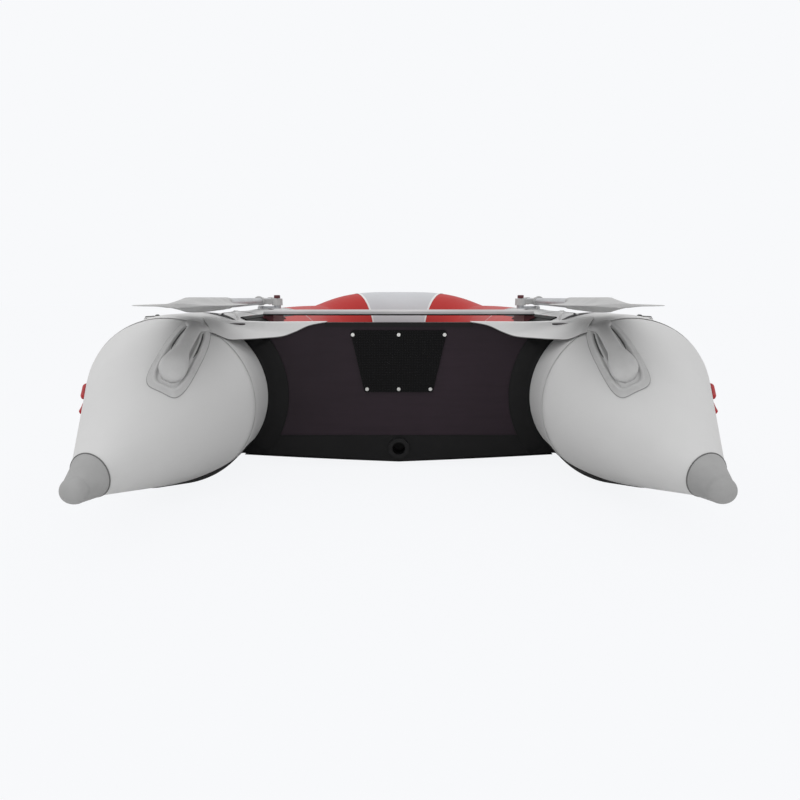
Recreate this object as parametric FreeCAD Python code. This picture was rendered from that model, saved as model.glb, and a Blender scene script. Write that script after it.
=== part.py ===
import FreeCAD, Part
import math
import os

# Inflatable dinghy, all lengths in millimetres.
# +X is starboard, +Y is the bow and +Z is up. Shapes are drawn with Y = 0 on the transom's aft
# face and z = 0 on the ground, and are moved along Y when written, so that the origin is the
# centre of the footprint.

# Buoyancy tubes
TUBE_R = 210.0
TUBE_SPACING = 569.0  # centreline to tube axis
SKIN = 1.5
STRIP_T = 2.0  # chafe strip under each tube, which touches the ground
AXIS_Z = TUBE_R + STRIP_T
GLUE_GAP = 0.3  # left between a glued-on piece and the skin under it

# Aft cones and their end caps
CONE_START = 138.0
CONE_END = 508.0
CONE_END_R = 40.0
CONE_END_Z = AXIS_Z - 66.5
CAP_RIM = 2.0  # how far the cap's rim stands out from the cone's end
CAP_TIP_Y = 562.0
CAP_TIP_R = 24.5
CAP_TIP_Z = AXIS_Z - 74.0

# Bow: a half circle whose axis rises towards the stem
BOW_START = 1150.0
BOW_ARC_Y = 1621.0
BOW_RISE = 85.0
RISE_START = 1895.0
BOW_CENTRE_ANGLE = 64.0  # where the red and the grey bow sections meet
BAFFLE_Y = 1000.0

# Rub strake
STRAKE_ANGLE = 13.0
STRAKE_BASE = 3.2
STRAKE_RIDGE = 7.0

# Transom
BOARD_T = 25.0
BOARD_TOP = 402.4
KEEL_Z = 14.0
CHINE_X = 436.0
CHINE_Z = 38.0
BOTTOM_T = 2.0
BOTTOM_END = 2035.0
KEEL_END = 1400.0  # forward of this the bottom's middle rises to the bow
SEAT_R = TUBE_R + 3.5  # radius the board's sides are cut to
BAND_TOP = 92.0
FLANGE_W = 52.0
FLANGE_T = 4.0
FLANGE_TOP = 355.0

# Motor pads
PAD_TOP = 384.0
PAD_BOTTOM = 215.0
PAD_TOP_W = 262.0
PAD_BOTTOM_W = 188.0
PAD_T = 6.0
SCREW_ROWS = ((372.0, (-124.0, 0.0, 124.0)), (223.0, (-87.0, 0.0, 87.0)))
SCREW_R = 2.5
SCREW_HEAD_R = 5.5
SCREW_HEAD_T = 2.2
SCREW_RECESS = 2.6  # depth of the seat cut in the pad for each head
SCREW_DEPTH = 12.0  # how far each screw goes into the board
PAD_GAP = 0.1  # between a pad and the board

# Drain valve
DRAIN_Z = 55.0
DRAIN_FLANGE_R = 31.0
DRAIN_NECK_R = 22.0
DRAIN_BORE_R = 18.0
DRAIN_FACE = 9.0

# Bench
BENCH_HALF = 475.0
BENCH_Y = 510.0
BENCH_DEPTH = 220.0
BENCH_Z = 410.0
BENCH_T = 20.0
TRACK_ANGLE = (-34.0, -21.0)

# Rowlocks and oars
LOCK_Y = 850.0
ROLL_X = 585.0
ROLL_Z = 428.5
PIN_X = 515.5
PIN_R = 5.0
OAR_Z = 455.0
OAR_R = 14.0
OAR_TIP = (430.0, -400.0)
OAR_HANDLE = 450.0
BLADE_L = 460.0
BLADE_W = 190.0
BLADE_T = 7.0
GRIP_R = 17.5
RUN = 0.06  # radial running clearance

# Floor
FLOOR_TOP = 95.0
FLOOR_T = 12.0
FLOOR_HALF = 388.0
FLOOR_JOINTS = (640.0, 1220.0)
FLOOR_END = 1830.0
BOARD_GAP = 1.2  # from a joint's middle to each board, which leaves room for the joiner's web

# Air valves
VALVE_NECK_R = 14.0
VALVE_FLANGE_R = 29.0
VALVE_CAP_R = 20.0

# Grab lines
LINE_ANGLE = 21.5
LINE_R = TUBE_R + 7.5
HOLDER_YS = (-48.0, 330.0, 700.0, 1090.0)

# Towing ring under the stem
RING_ANGLE = -38.0
RING_BAR = 13.0  # from the tube's skin out to the ring's bar

UP = FreeCAD.Vector(0, 0, 1)


def vec(x, y, z):
    return FreeCAD.Vector(x, y, z)


def box(x0, x1, y0, y1, z0, z1):
    return Part.makeBox(x1 - x0, y1 - y0, z1 - z0, vec(x0, y0, z0))


def rod(start, end, radius):
    along = end - start
    return Part.makeCylinder(radius, along.Length, start, along)


def mirrored(shape):
    return shape.mirror(vec(0, 0, 0), vec(1, 0, 0))


def polygon_wire(points):
    return Part.makePolygon(list(points) + [points[0]])


def prism(points, direction):
    """A prism on a closed polygon."""
    return Part.Face(polygon_wire(points)).extrude(direction)


def rounded_plate(width, length, thickness, radius):
    """A plate centred on the origin in x and y, standing on z = 0."""
    plate = box(-width / 2, width / 2, -length / 2, length / 2, 0, thickness)
    corners = [e for e in plate.Edges if abs(e.tangentAt(e.FirstParameter).z) > 0.9]
    return plate.makeFillet(radius, corners)


def fuse(shapes):
    result = shapes[0]
    for shape in shapes[1:]:
        result = result.fuse(shape)
    return result.removeSplitter()


# ---- tube path ----


def rise(y):
    """How far the tube's axis has climbed at y."""
    top = BOW_ARC_Y + TUBE_SPACING
    t = min(max((y - RISE_START) / (top - RISE_START), 0.0), 1.0)
    return BOW_RISE * t * t * (3 - 2 * t)


def arc_point(angle):
    """Point on the bow's axis, angle in degrees from the starboard tube round to port."""
    a = math.radians(angle)
    y = BOW_ARC_Y + TUBE_SPACING * math.sin(a)
    return vec(TUBE_SPACING * math.cos(a), y, AXIS_Z + rise(y))


def bow_curve():
    """The tube's axis from one end of the bow's arc round to the other."""
    arc = [arc_point(180.0 * i / 24) for i in range(25)]
    curve = Part.BSplineCurve()
    curve.interpolate(arc, InitialTangent=vec(0, 1, 0), FinalTangent=vec(0, -1, 0))
    return curve


def bow_frame(curve, u, upright=False):
    """Placement on the bow's axis: x outboard, y up and z back along the tube. It is square to
    the axis, or upright and so only square to the axis where the tube is level."""
    point = curve.value(u)
    tangent = vec(*curve.tangent(u)[0])
    out = tangent.cross(UP)
    out.normalize()
    up = UP if upright else out.cross(tangent)
    back = out.cross(up)
    matrix = FreeCAD.Matrix(
        out.x, up.x, back.x, point.x,
        out.y, up.y, back.y, point.y,
        out.z, up.z, back.z, point.z,
        0, 0, 0, 1,
    )
    return FreeCAD.Placement(matrix)


def bow_range(part):
    """Curve and its first and last parameter for the bow's quarter or its centre."""
    curve = bow_curve()
    seam = curve.parameter(arc_point(BOW_CENTRE_ANGLE))
    far_seam = curve.parameter(arc_point(180 - BOW_CENTRE_ANGLE))
    ends = {
        "quarter": (curve.FirstParameter, seam),
        "centre": (seam, far_seam),
    }
    return (curve,) + ends[part]


def bow_sweep(part, wire, upright=False):
    """Sweeps a cross-section, drawn with x outboard and y up, along part of the bow. The
    quarter also takes in the straight run between the side tube and the arc."""
    curve, first, last = bow_range(part)
    wire.Placement = bow_frame(curve, first, upright)
    sweep = Part.BRepOffsetAPI.MakePipeShell(Part.Wire([curve.toShape(first, last)]))
    if upright:
        sweep.setBiNormalMode(UP)
    else:
        sweep.setFrenetMode(False)
    sweep.add(wire)
    sweep.build()
    sweep.makeSolid()
    swept = sweep.shape()
    if part == "centre":
        return swept
    straight = Part.Face(wire).extrude(vec(0, BOW_START - BOW_ARC_Y, 0))
    return fuse([straight, swept])


def bow_solid(part, radius):
    return bow_sweep(part, Part.Wire([Part.makeCircle(radius)]))


def hollow_bow(part):
    return bow_solid(part, TUBE_R).cut(bow_solid(part, TUBE_R - SKIN))


def straight_cylinder(y0, y1, radius):
    return rod(vec(TUBE_SPACING, y0, AXIS_Z), vec(TUBE_SPACING, y1, AXIS_Z), radius)


def tube_sector(y0, y1, r0, r1, a0, a1):
    """Part of a ring round the starboard side tube. Angles are in degrees from straight up,
    positive outboard."""
    ring = straight_cylinder(y0, y1, r1).cut(straight_cylinder(y0 - 1, y1 + 1, r0))
    reach = r1 * 1.5
    count = max(2, int(math.ceil((a1 - a0) / 30.0)))
    points = [vec(TUBE_SPACING, y0 - 1, AXIS_Z)]
    for i in range(count + 1):
        a = math.radians(a0 + (a1 - a0) * i / count)
        x = TUBE_SPACING + reach * math.sin(a)
        points.append(vec(x, y0 - 1, AXIS_Z + reach * math.cos(a)))
    return ring.common(prism(points, vec(0, y1 - y0 + 2, 0)))


def on_tube(angle, radius, y):
    """A point off the side tube's axis, angle from straight up and positive outboard."""
    a = math.radians(angle)
    return vec(TUBE_SPACING + radius * math.sin(a), y, AXIS_Z + radius * math.cos(a))


# ---- buoyancy tubes ----


def valve_seats():
    """(side, y) of the three air valves; side is 1 to starboard and -1 to port."""
    return ((-1, 200.0), (1, 200.0), (1, 1075.0))


def side_tube(side):
    tube = straight_cylinder(-CONE_START, BOW_START, TUBE_R)
    tube = tube.cut(straight_cylinder(-CONE_START - 1, BOW_START + 1, TUBE_R - SKIN))
    for valve_side, y in valve_seats():
        if valve_side == side:
            start = on_tube(-90, TUBE_R - 10, y)
            tube = tube.cut(rod(start, on_tube(-90, TUBE_R + 5, y), VALVE_NECK_R + 0.5))
    return tube if side > 0 else mirrored(tube)


def cone_solid(extra):
    """The aft cone, with its surface moved out by extra."""
    rings = []
    for y, r, z in (
        (-CONE_START, TUBE_R, AXIS_Z),
        (-CONE_END, CONE_END_R, CONE_END_Z),
    ):
        rings.append(Part.Wire([Part.makeCircle(r + extra, vec(TUBE_SPACING, y, z), vec(0, 1, 0))]))
    return Part.makeLoft(rings, True, True)


def aft_cone():
    return cone_solid(0).cut(cone_solid(-SKIN))


def cone_cap():
    """Blunt moulded cap on the cone's end, turned about the line to its tip."""
    base = vec(TUBE_SPACING, -CONE_END, CONE_END_Z)
    tip = vec(TUBE_SPACING, -CAP_TIP_Y, CAP_TIP_Z)
    length = (tip - base).Length
    rim = CONE_END_R + CAP_RIM
    end = length + CAP_TIP_R
    shoulder = vec(rim * 0.89, 0, end * 0.27)
    side = Part.BSplineCurve()
    side.interpolate(
        [
            shoulder,
            vec(rim * 0.755, 0, end * 0.54),
            vec(rim * 0.56, 0, end * 0.80),
            vec(0, 0, end),
        ],
        InitialTangent=vec(-0.22, 0, 1),
        FinalTangent=vec(-1, 0, 0),
    )
    wall = [
        Part.makeLine(vec(0, 0, 1), vec(rim, 0, 1)),
        Part.makeLine(vec(rim, 0, 1), shoulder),
        side.toShape(),
        Part.makeLine(vec(0, 0, end), vec(0, 0, 1)),
    ]
    cap = Part.Face(Part.Wire(wall)).revolve(vec(0, 0, 0), UP, 360)
    cap.Placement = FreeCAD.Placement(base, FreeCAD.Rotation(UP, tip - base))
    return cap.cut(cone_solid(0.2))


def chamber_baffle():
    """Fabric wall between two air chambers, inside the tube."""
    return straight_cylinder(BAFFLE_Y, BAFFLE_Y + SKIN, TUBE_R - SKIN - 0.1)


def seam_band():
    """Doubling tape where the cone joins the side tube."""
    start = -CONE_START
    return tube_sector(start, start + 26, TUBE_R + 0.2, TUBE_R + 1.0, -80, 75)


# ---- strips on the tubes ----


def strake_section():
    """Outline of the ridged rub strake, in the tube's own cross-section."""
    inner = TUBE_R + 0.6
    points = []
    for i in range(9):
        a = math.radians(-STRAKE_ANGLE + 2 * STRAKE_ANGLE * i / 8)
        points.append((inner * math.cos(a), inner * math.sin(a)))
    for i in range(12, -1, -1):
        a = math.radians(-STRAKE_ANGLE + 2 * STRAKE_ANGLE * i / 12)
        high = i % 4 in (2, 3) and 0 < i < 12
        r = TUBE_R + (STRAKE_RIDGE if high else STRAKE_BASE)
        points.append((r * math.cos(a), r * math.sin(a)))
    return [vec(x, y, 0) for x, y in points]


def side_strake():
    face = Part.Face(polygon_wire(strake_section()))
    start = vec(TUBE_SPACING, -125.0, AXIS_Z)
    face.Placement = FreeCAD.Placement(start, FreeCAD.Rotation(vec(1, 0, 0), 90))
    return face.extrude(vec(0, BOW_START + 125.0, 0))


def bow_strakes():
    """The bow's rub strake, in three lengths that meet at the bow section's seams."""
    quarter = bow_sweep("quarter", polygon_wire(strake_section()), upright=True)
    centre = bow_sweep("centre", polygon_wire(strake_section()), upright=True)
    return [quarter, centre, mirrored(quarter)]


def chafe_strip():
    """Black wear strip under a side tube, which the boat stands on."""
    return tube_sector(-100, BOW_START, TUBE_R + GLUE_GAP, TUBE_R + STRIP_T, 162, 208)


# ---- bottom and floor ----


def bottom_edge(y):
    """Half width of the bottom where it meets the tubes, and how far they have climbed there."""
    if y <= BOW_ARC_Y:
        return CHINE_X, 0.0
    ahead = y - BOW_ARC_Y
    half = math.sqrt(max(CHINE_X ** 2 - ahead ** 2, 0.0))
    return half, rise(BOW_ARC_Y + ahead * TUBE_SPACING / CHINE_X)


def bottom_wire(y):
    half, climb = bottom_edge(y)
    w = half - 2.0
    chine = CHINE_Z + climb - 2.0
    centre = KEEL_Z + (chine - KEEL_Z) * (max(0.0, y - KEEL_END) / (BOTTOM_END - KEEL_END)) ** 1.5
    return polygon_wire([
        vec(-w, y, chine), vec(0, y, centre), vec(w, y, chine),
        vec(w, y, chine + BOTTOM_T), vec(0, y, centre + BOTTOM_T), vec(-w, y, chine + BOTTOM_T),
    ])


def bottom_skin():
    """Shallow vee of coated fabric between the tubes."""
    ys = (-1.7, BOW_START, KEEL_END, BOW_ARC_Y, 1760.0, 1850.0, 1905.0, 1955.0, 2005.0, BOTTOM_END)
    return Part.makeLoft([bottom_wire(y) for y in ys], True, True)


def keel_tube():
    """Sealed air keel lying on the bottom skin."""
    radius = 29.0
    z = KEEL_Z + BOTTOM_T + radius + 1.5
    ends = ((120.0, 12.0), (200.0, radius), (KEEL_END - 80, radius), (KEEL_END, 12.0))

    def tube(extra):
        rings = []
        for i, (y, r) in enumerate(ends):
            shift = (extra if i == 0 else -extra if i == 3 else 0)
            centre = vec(0, y + shift, z)
            rings.append(Part.Wire([Part.makeCircle(r - extra, centre, vec(0, 1, 0))]))
        return Part.makeLoft(rings, True, True)

    return tube(0).cut(tube(SKIN))


def floor_board(y0, y1, nose=False):
    z = FLOOR_TOP - FLOOR_T
    w = FLOOR_HALF
    points = [vec(-w, y0, z), vec(w, y0, z), vec(w, y1, z), vec(-w, y1, z)]
    if nose:
        points = [
            vec(-w, y0, z), vec(w, y0, z), vec(w, y1 - 330, z), vec(w * 0.82, y1 - 170, z),
            vec(w * 0.45, y1, z), vec(-w * 0.45, y1, z), vec(-w * 0.82, y1 - 170, z),
            vec(-w, y1 - 330, z),
        ]
    return prism(points, vec(0, 0, FLOOR_T))


def floor_board_aft():
    """Aft board, notched so that the drain flap can be reached and opened."""
    board = floor_board(60.0, FLOOR_JOINTS[0] - BOARD_GAP)
    return board.cut(box(-42, 42, 59, 118, FLOOR_TOP - 2 * FLOOR_T, FLOOR_TOP + FLOOR_T))


def floor_joiner(y):
    """H section that holds two floor boards end to end."""
    z0 = FLOOR_TOP - FLOOR_T
    lip = 12.0
    w = FLOOR_HALF - 20.0
    web = box(-w, w, y - 1.0, y + 1.0, z0 - 0.2, FLOOR_TOP + 0.2)
    top = box(-w, w, y - lip, y + lip, FLOOR_TOP + 0.2, FLOOR_TOP + 2.0)
    under = box(-w, w, y - lip, y + lip, z0 - 2.0, z0 - 0.2)
    return fuse([web, top, under])


def floor_stringer():
    """Channel along the edge of the floor boards."""
    z0 = FLOOR_TOP - FLOOR_T
    outer = box(FLOOR_HALF - 14, FLOOR_HALF + 2.5, 120, 1450, z0 - 2.0, FLOOR_TOP + 2.0)
    slot = box(FLOOR_HALF - 15, FLOOR_HALF + 0.3, 119, 1451, z0 - 0.2, FLOOR_TOP + 0.2)
    return outer.cut(slot)


# ---- transom ----


def bottom_line(x):
    return KEEL_Z + (CHINE_Z - KEEL_Z) * abs(x) / CHINE_X


def tube_clearance(radius, y0, y1):
    cylinder = straight_cylinder(y0, y1, radius)
    return cylinder.fuse(mirrored(cylinder))


def transom_profile(x_limit, z_top, y, depth, gap):
    """Plate between the tubes, from the vee of the bottom up to z_top."""
    low = BOTTOM_T + gap
    points = [
        vec(0, y, KEEL_Z + low), vec(x_limit, y, bottom_line(x_limit) + low),
        vec(x_limit, y, z_top), vec(-x_limit, y, z_top),
        vec(-x_limit, y, bottom_line(x_limit) + low),
    ]
    plate = prism(points, vec(0, depth, 0))
    return plate.cut(tube_clearance(SEAT_R, y - 1, y + depth + 1))


def screw_axes():
    for z, xs in SCREW_ROWS:
        for x in xs:
            yield x, z


def pad_screw_holes(y0, y1):
    return [rod(vec(x, y0, z), vec(x, y1, z), SCREW_R + 0.1) for x, z in screw_axes()]


def transom_board():
    board = transom_profile(490.0, BOARD_TOP, 0.0, BOARD_T, 0.5)
    board = board.cut(rod(vec(0, -1, DRAIN_Z), vec(0, BOARD_T + 1, DRAIN_Z), DRAIN_NECK_R + 0.3))
    for hole in pad_screw_holes(-1, SCREW_DEPTH + 0.2):
        board = board.cut(hole)
    for hole in pad_screw_holes(BOARD_T - SCREW_DEPTH - 0.2, BOARD_T + 1):
        board = board.cut(hole)
    return board


def transom_top_trim():
    """Channel over the board's top edge."""
    half = 200.0
    wall = 2.2
    outer = box(-half, half, -wall, BOARD_T + wall, BOARD_TOP - 9, BOARD_TOP + wall)
    return outer.cut(box(-half - 1, half + 1, -0.2, BOARD_T + 0.2, 0, BOARD_TOP + 0.2))


def transom_bottom_band():
    """The bottom's fabric, carried up the board's aft face."""
    band = transom_profile(470.0, BAND_TOP, -1.7, 1.4, 0.2)
    hole = rod(vec(0, -3, DRAIN_Z), vec(0, 1, DRAIN_Z), DRAIN_NECK_R + 0.3)
    return band.cut(hole)


def transom_flanges():
    """Rubber angles that hold the board between the tubes, one on each face."""
    foot = 42.0
    solids = []
    for aft in (True, False):
        y0, y1 = (-FLANGE_T, -0.2) if aft else (BOARD_T + 0.2, BOARD_T + FLANGE_T)
        f0, f1 = (-foot, -0.2) if aft else (BOARD_T + 0.2, BOARD_T + foot)
        web = tube_sector(y0, y1, TUBE_R + GLUE_GAP, SEAT_R + FLANGE_W, -116, -40)
        lip = tube_sector(f0, f1, TUBE_R + GLUE_GAP, SEAT_R - 0.5, -116, -46)
        angle = fuse([web, lip])
        reach = TUBE_SPACING + TUBE_R
        angle = angle.cut(box(0, reach, f0 - 1, f1 + 1, FLANGE_TOP, FLANGE_TOP + 100))
        angle = angle.cut(box(0, reach, f0 - 1, f1 + 1, 0, BAND_TOP + 1))
        solids.append(angle)
    return solids


def corner_gusset():
    """Flap over the transom's top corner: an apron on the aft face and a patch on the tube."""
    low = ((203.0, 402.0), (247.0, 388.0), (312.0, 368.0), (407.0, 360.0), (480.0, 364.0))
    points = [vec(x, -3.0, z) for x, z in low] + [vec(485.0, -3.0, BOARD_TOP), ]
    points.append(vec(210.0, -3.0, BOARD_TOP))
    apron = prism(points, vec(0, 2.7, 0))
    cover = box(210, 485, -3.0, BOARD_T + 3, BOARD_TOP + 0.2, BOARD_TOP + 2.2)
    flap = fuse([apron, box(210, 485, -3.0, -0.3, BOARD_TOP - 1, BOARD_TOP + 1), cover])
    flap = flap.cut(straight_cylinder(-10, 60, SEAT_R))
    patch = tube_sector(-12, 222, TUBE_R + GLUE_GAP, TUBE_R + 1.8, -44, -7)
    return [flap, patch]


def motor_pad(y0, sign):
    """Pad on the board's aft face (sign -1) or fore face (sign 1), with sunk screw seats."""
    points = [
        vec(-PAD_TOP_W / 2, y0, PAD_TOP), vec(PAD_TOP_W / 2, y0, PAD_TOP),
        vec(PAD_BOTTOM_W / 2, y0, PAD_BOTTOM), vec(-PAD_BOTTOM_W / 2, y0, PAD_BOTTOM),
    ]
    pad = prism(points, vec(0, PAD_T, 0))
    edges = [e for e in pad.Edges if abs(e.tangentAt(e.FirstParameter).y) > 0.9]
    pad = pad.makeFillet(7.0, edges)
    for hole in pad_screw_holes(y0 - 1, y0 + PAD_T + 1):
        pad = pad.cut(hole)
    face = y0 + (PAD_T if sign > 0 else 0)
    for x, z in screw_axes():
        seat = rod(vec(x, face - sign * SCREW_RECESS, z), vec(x, face + sign, z), SCREW_HEAD_R + 0.3)
        pad = pad.cut(seat)
    return pad


def pad_screw(x, z, inner):
    """Screw sunk in a pad's seat, through the pad and into the board."""
    face = PAD_GAP + PAD_T - SCREW_RECESS + 0.1
    head = Part.makeCylinder(SCREW_HEAD_R, SCREW_HEAD_T)
    rim = [e for e in head.Edges if abs(e.BoundBox.ZMin - SCREW_HEAD_T) < 0.01 and e.Closed]
    head = head.makeFillet(1.2, rim)
    for turn in (0, 90):
        slot = box(-3.2, 3.2, -0.6, 0.6, SCREW_HEAD_T - 1.2, SCREW_HEAD_T + 1)
        slot.rotate(vec(0, 0, 0), UP, turn)
        head = head.cut(slot)
    shank = Part.makeCylinder(SCREW_R, face + SCREW_DEPTH, vec(0, 0, -face - SCREW_DEPTH))
    screw = head.fuse(shank).removeSplitter()
    sign = 1 if inner else -1
    screw.rotate(vec(0, 0, 0), vec(1, 0, 0), -90 * sign)
    screw.translate(vec(x, BOARD_T + face if inner else -face, z))
    return screw


def drain_body():
    """Flanged through-fitting with eight flats on its rim."""
    points = []
    for i in range(8):
        a = math.radians(22.5 + 45 * i)
        points.append(vec(DRAIN_FLANGE_R * math.cos(a), -DRAIN_FACE, DRAIN_Z + DRAIN_FLANGE_R * math.sin(a)))
    flange = prism(points, vec(0, DRAIN_FACE - 1.9, 0))
    neck = rod(vec(0, -3, DRAIN_Z), vec(0, BOARD_T + 15, DRAIN_Z), DRAIN_NECK_R)
    bore = rod(vec(0, -20, DRAIN_Z), vec(0, 60, DRAIN_Z), DRAIN_BORE_R)
    return flange.fuse(neck).removeSplitter().cut(bore)


def drain_nut():
    """Ring nut on the inner end of the fitting, with the two ears the flap hangs from."""
    y0 = BOARD_T + 0.3
    ring = rod(vec(0, y0, DRAIN_Z), vec(0, y0 + 11, DRAIN_Z), 29.0)
    ring = ring.cut(rod(vec(0, y0 - 1, DRAIN_Z), vec(0, y0 + 12, DRAIN_Z), DRAIN_NECK_R + 0.1))
    for x in (-13.0, 8.0):
        ear = box(x, x + 5, y0, y0 + 21, DRAIN_Z + 25.5, DRAIN_Z + 37)
        pin = drain_flap_axis()
        ear = ear.cut(rod(vec(x - 1, pin.y, pin.z), vec(x + 6, pin.y, pin.z), 2.0 + RUN))
        ring = ring.fuse(ear)
    return ring.removeSplitter()


def drain_flap_axis():
    return vec(0, BOARD_T + 17.5, DRAIN_Z + 32.5)


def drain_flap():
    """Hinged cap that closes the bore from inside."""
    pin = drain_flap_axis()
    y0 = BOARD_T + 15.3
    disc = rod(vec(0, y0, DRAIN_Z), vec(0, y0 + 4, DRAIN_Z), 24.0)
    arm = box(-7.5, 7.5, y0, y0 + 4, DRAIN_Z + 15, pin.z)
    knuckle = rod(vec(-7.5, pin.y, pin.z), vec(7.5, pin.y, pin.z), 3.6)
    axle = rod(vec(-14, pin.y, pin.z), vec(14, pin.y, pin.z), 2.0)
    tab = box(-5, 5, y0, y0 + 4, DRAIN_Z - 29, DRAIN_Z - 20)
    return fuse([disc, arm, knuckle, axle, tab])


# ---- air valves ----


def valve_rod(y, r0, r1, radius):
    """A cylinder square to the tube's inboard side, between two distances from its axis."""
    return rod(on_tube(-90, r0, y), on_tube(-90, r1, y), radius)


def air_valve(y):
    body = valve_rod(y, TUBE_R - 22, TUBE_R + 3, VALVE_NECK_R)
    rim = valve_rod(y, TUBE_R - 4, TUBE_R + 5, VALVE_FLANGE_R)
    rim = rim.cut(straight_cylinder(y - 60, y + 60, TUBE_R + GLUE_GAP))
    collar = valve_rod(y, TUBE_R + 4, TUBE_R + 10, VALVE_CAP_R + 3)
    body = fuse([body, rim, collar])
    body = body.cut(valve_rod(y, TUBE_R + 5, TUBE_R + 12, VALVE_CAP_R + 0.4))
    return body.cut(valve_rod(y, TUBE_R - 30, TUBE_R + 12, 9.0))


def valve_cap(y):
    """Bayonet cap with a finger bar, free to turn in the valve."""
    disc = valve_rod(y, TUBE_R + 5.3, TUBE_R + 9, VALVE_CAP_R)
    plug = valve_rod(y, TUBE_R - 2, TUBE_R + 6, 8.8)
    x = TUBE_SPACING - TUBE_R
    bar = box(x - 13, x - 8, y - 16, y + 16, AXIS_Z - 3, AXIS_Z + 3)
    return fuse([disc, plug, bar])


# ---- bench ----


def bench_board():
    board = rounded_plate(2 * BENCH_HALF, BENCH_DEPTH, BENCH_T, 32.0)
    rim = [e for e in board.Edges if e.BoundBox.ZLength < 0.01]
    board = board.makeFillet(4.0, rim)
    board.translate(vec(0, BENCH_Y, BENCH_Z))
    return board


def bench_track():
    """Rubber guide glued to the tube's inboard shoulder."""
    a0, a1 = TRACK_ANGLE
    track = tube_sector(230, 700, TUBE_R + GLUE_GAP, TUBE_R + 4, a0, a1)
    groove = tube_sector(229, 701, TUBE_R + 2.4, TUBE_R + 9, a0 + 5, a1 - 5)
    return track.cut(groove)


def bench_clip():
    """Block under the bench's end that rides on the track."""
    a0, a1 = TRACK_ANGLE
    y0 = BENCH_Y - 85
    y1 = BENCH_Y + 85
    block = box(436, 470, y0, y1, 380, BENCH_Z - 0.1)
    block = block.cut(straight_cylinder(y0 - 1, y1 + 1, TUBE_R + 4.6))
    key = tube_sector(y0, y1, TUBE_R + 2.9, TUBE_R + 5.5, a0 + 5.6, a1 - 5.6)
    key = key.common(box(430, 480, y0, y1, 380, BENCH_Z))
    return fuse([block, key])


# ---- rowlocks and oars ----


def rowlock_base():
    """Pad on the tube with two ears for the roll pin."""
    pad = tube_sector(LOCK_Y - 55, LOCK_Y + 55, TUBE_R + GLUE_GAP, TUBE_R + 2.6, -7, 17)
    pad = pad.cut(box(500, 604, LOCK_Y - 16, LOCK_Y + 16, 380, 440))
    solids = [pad]
    for y in (LOCK_Y - 28, LOCK_Y + 18):
        ear = rod(vec(ROLL_X, y, ROLL_Z), vec(ROLL_X, y + 10, ROLL_Z), 7.5)
        foot = box(ROLL_X - 7.5, ROLL_X + 7.5, y, y + 10, ROLL_Z - 10, ROLL_Z)
        solids += [ear, foot]
    base = fuse(solids).cut(straight_cylinder(LOCK_Y - 60, LOCK_Y + 60, TUBE_R + GLUE_GAP))
    return base.cut(rod(vec(ROLL_X, LOCK_Y - 40, ROLL_Z), vec(ROLL_X, LOCK_Y + 40, ROLL_Z), 4 + RUN))


def rowlock_cradle():
    """Rolling arm: a fore-and-aft pin in the base's ears and an upright pin for the oar."""
    pin = rod(vec(ROLL_X, LOCK_Y - 31, ROLL_Z), vec(ROLL_X, LOCK_Y + 31, ROLL_Z), 4.0)
    hub = rod(vec(ROLL_X, LOCK_Y - 15, ROLL_Z), vec(ROLL_X, LOCK_Y + 15, ROLL_Z), 6.0)
    arm = box(PIN_X, ROLL_X, LOCK_Y - 12, LOCK_Y + 12, ROLL_Z - 4, ROLL_Z + 6)
    seat = rod(vec(PIN_X, LOCK_Y, ROLL_Z - 4), vec(PIN_X, LOCK_Y, ROLL_Z + 9), 15.0)
    post = rod(vec(PIN_X, LOCK_Y, ROLL_Z), vec(PIN_X, LOCK_Y, OAR_Z + 20), PIN_R)
    return fuse([pin, hub, arm, seat, post])


def rowlock_knob():
    """Knob screwed on the upright pin, which keeps the oar on it."""
    z0 = OAR_Z + 12
    knob = rod(vec(PIN_X, LOCK_Y, z0), vec(PIN_X, LOCK_Y, z0 + 14), 13.0)
    rim = [e for e in knob.Edges if e.Closed and e.BoundBox.ZLength < 0.01]
    knob = knob.makeFillet(3.0, rim)
    return knob.cut(rod(vec(PIN_X, LOCK_Y, z0 - 1), vec(PIN_X, LOCK_Y, OAR_Z + 20), PIN_R))


def oar_angle():
    return math.degrees(math.atan2(ROLL_X - OAR_TIP[0], LOCK_Y - OAR_TIP[1]))


def oar_reach():
    return math.hypot(ROLL_X - OAR_TIP[0], LOCK_Y - OAR_TIP[1])


def placed_oar(shape):
    """Moves a shape drawn along the oar, blade towards -y, to the stowed oar."""
    shape.rotate(vec(0, 0, 0), UP, -oar_angle())
    shape.translate(vec(ROLL_X, LOCK_Y, OAR_Z))
    return shape


def oar_shaft():
    blade_root = -oar_reach() + BLADE_L - 100
    outer = rod(vec(0, blade_root, 0), vec(0, OAR_HANDLE - 3, 0), OAR_R)
    inner = rod(vec(0, blade_root + 3, 0), vec(0, OAR_HANDLE - 6, 0), OAR_R - 1.6)
    return placed_oar(outer.cut(inner))


def oar_grip():
    grip = rod(vec(0, OAR_HANDLE - 125, 0), vec(0, OAR_HANDLE, 0), GRIP_R)
    ends = [e for e in grip.Edges if e.Closed and e.BoundBox.YLength < 0.01]
    grip = grip.makeFillet(4.0, ends)
    for i in range(6):
        y = OAR_HANDLE - 108 + 16 * i
        ring = Part.makeTorus(GRIP_R + 0.6, 1.6, vec(0, y, 0), vec(0, 1, 0))
        grip = grip.cut(ring)
    bore = rod(vec(0, OAR_HANDLE - 126, 0), vec(0, OAR_HANDLE - 2.9, 0), OAR_R + 0.05)
    return placed_oar(grip.cut(bore))


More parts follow.
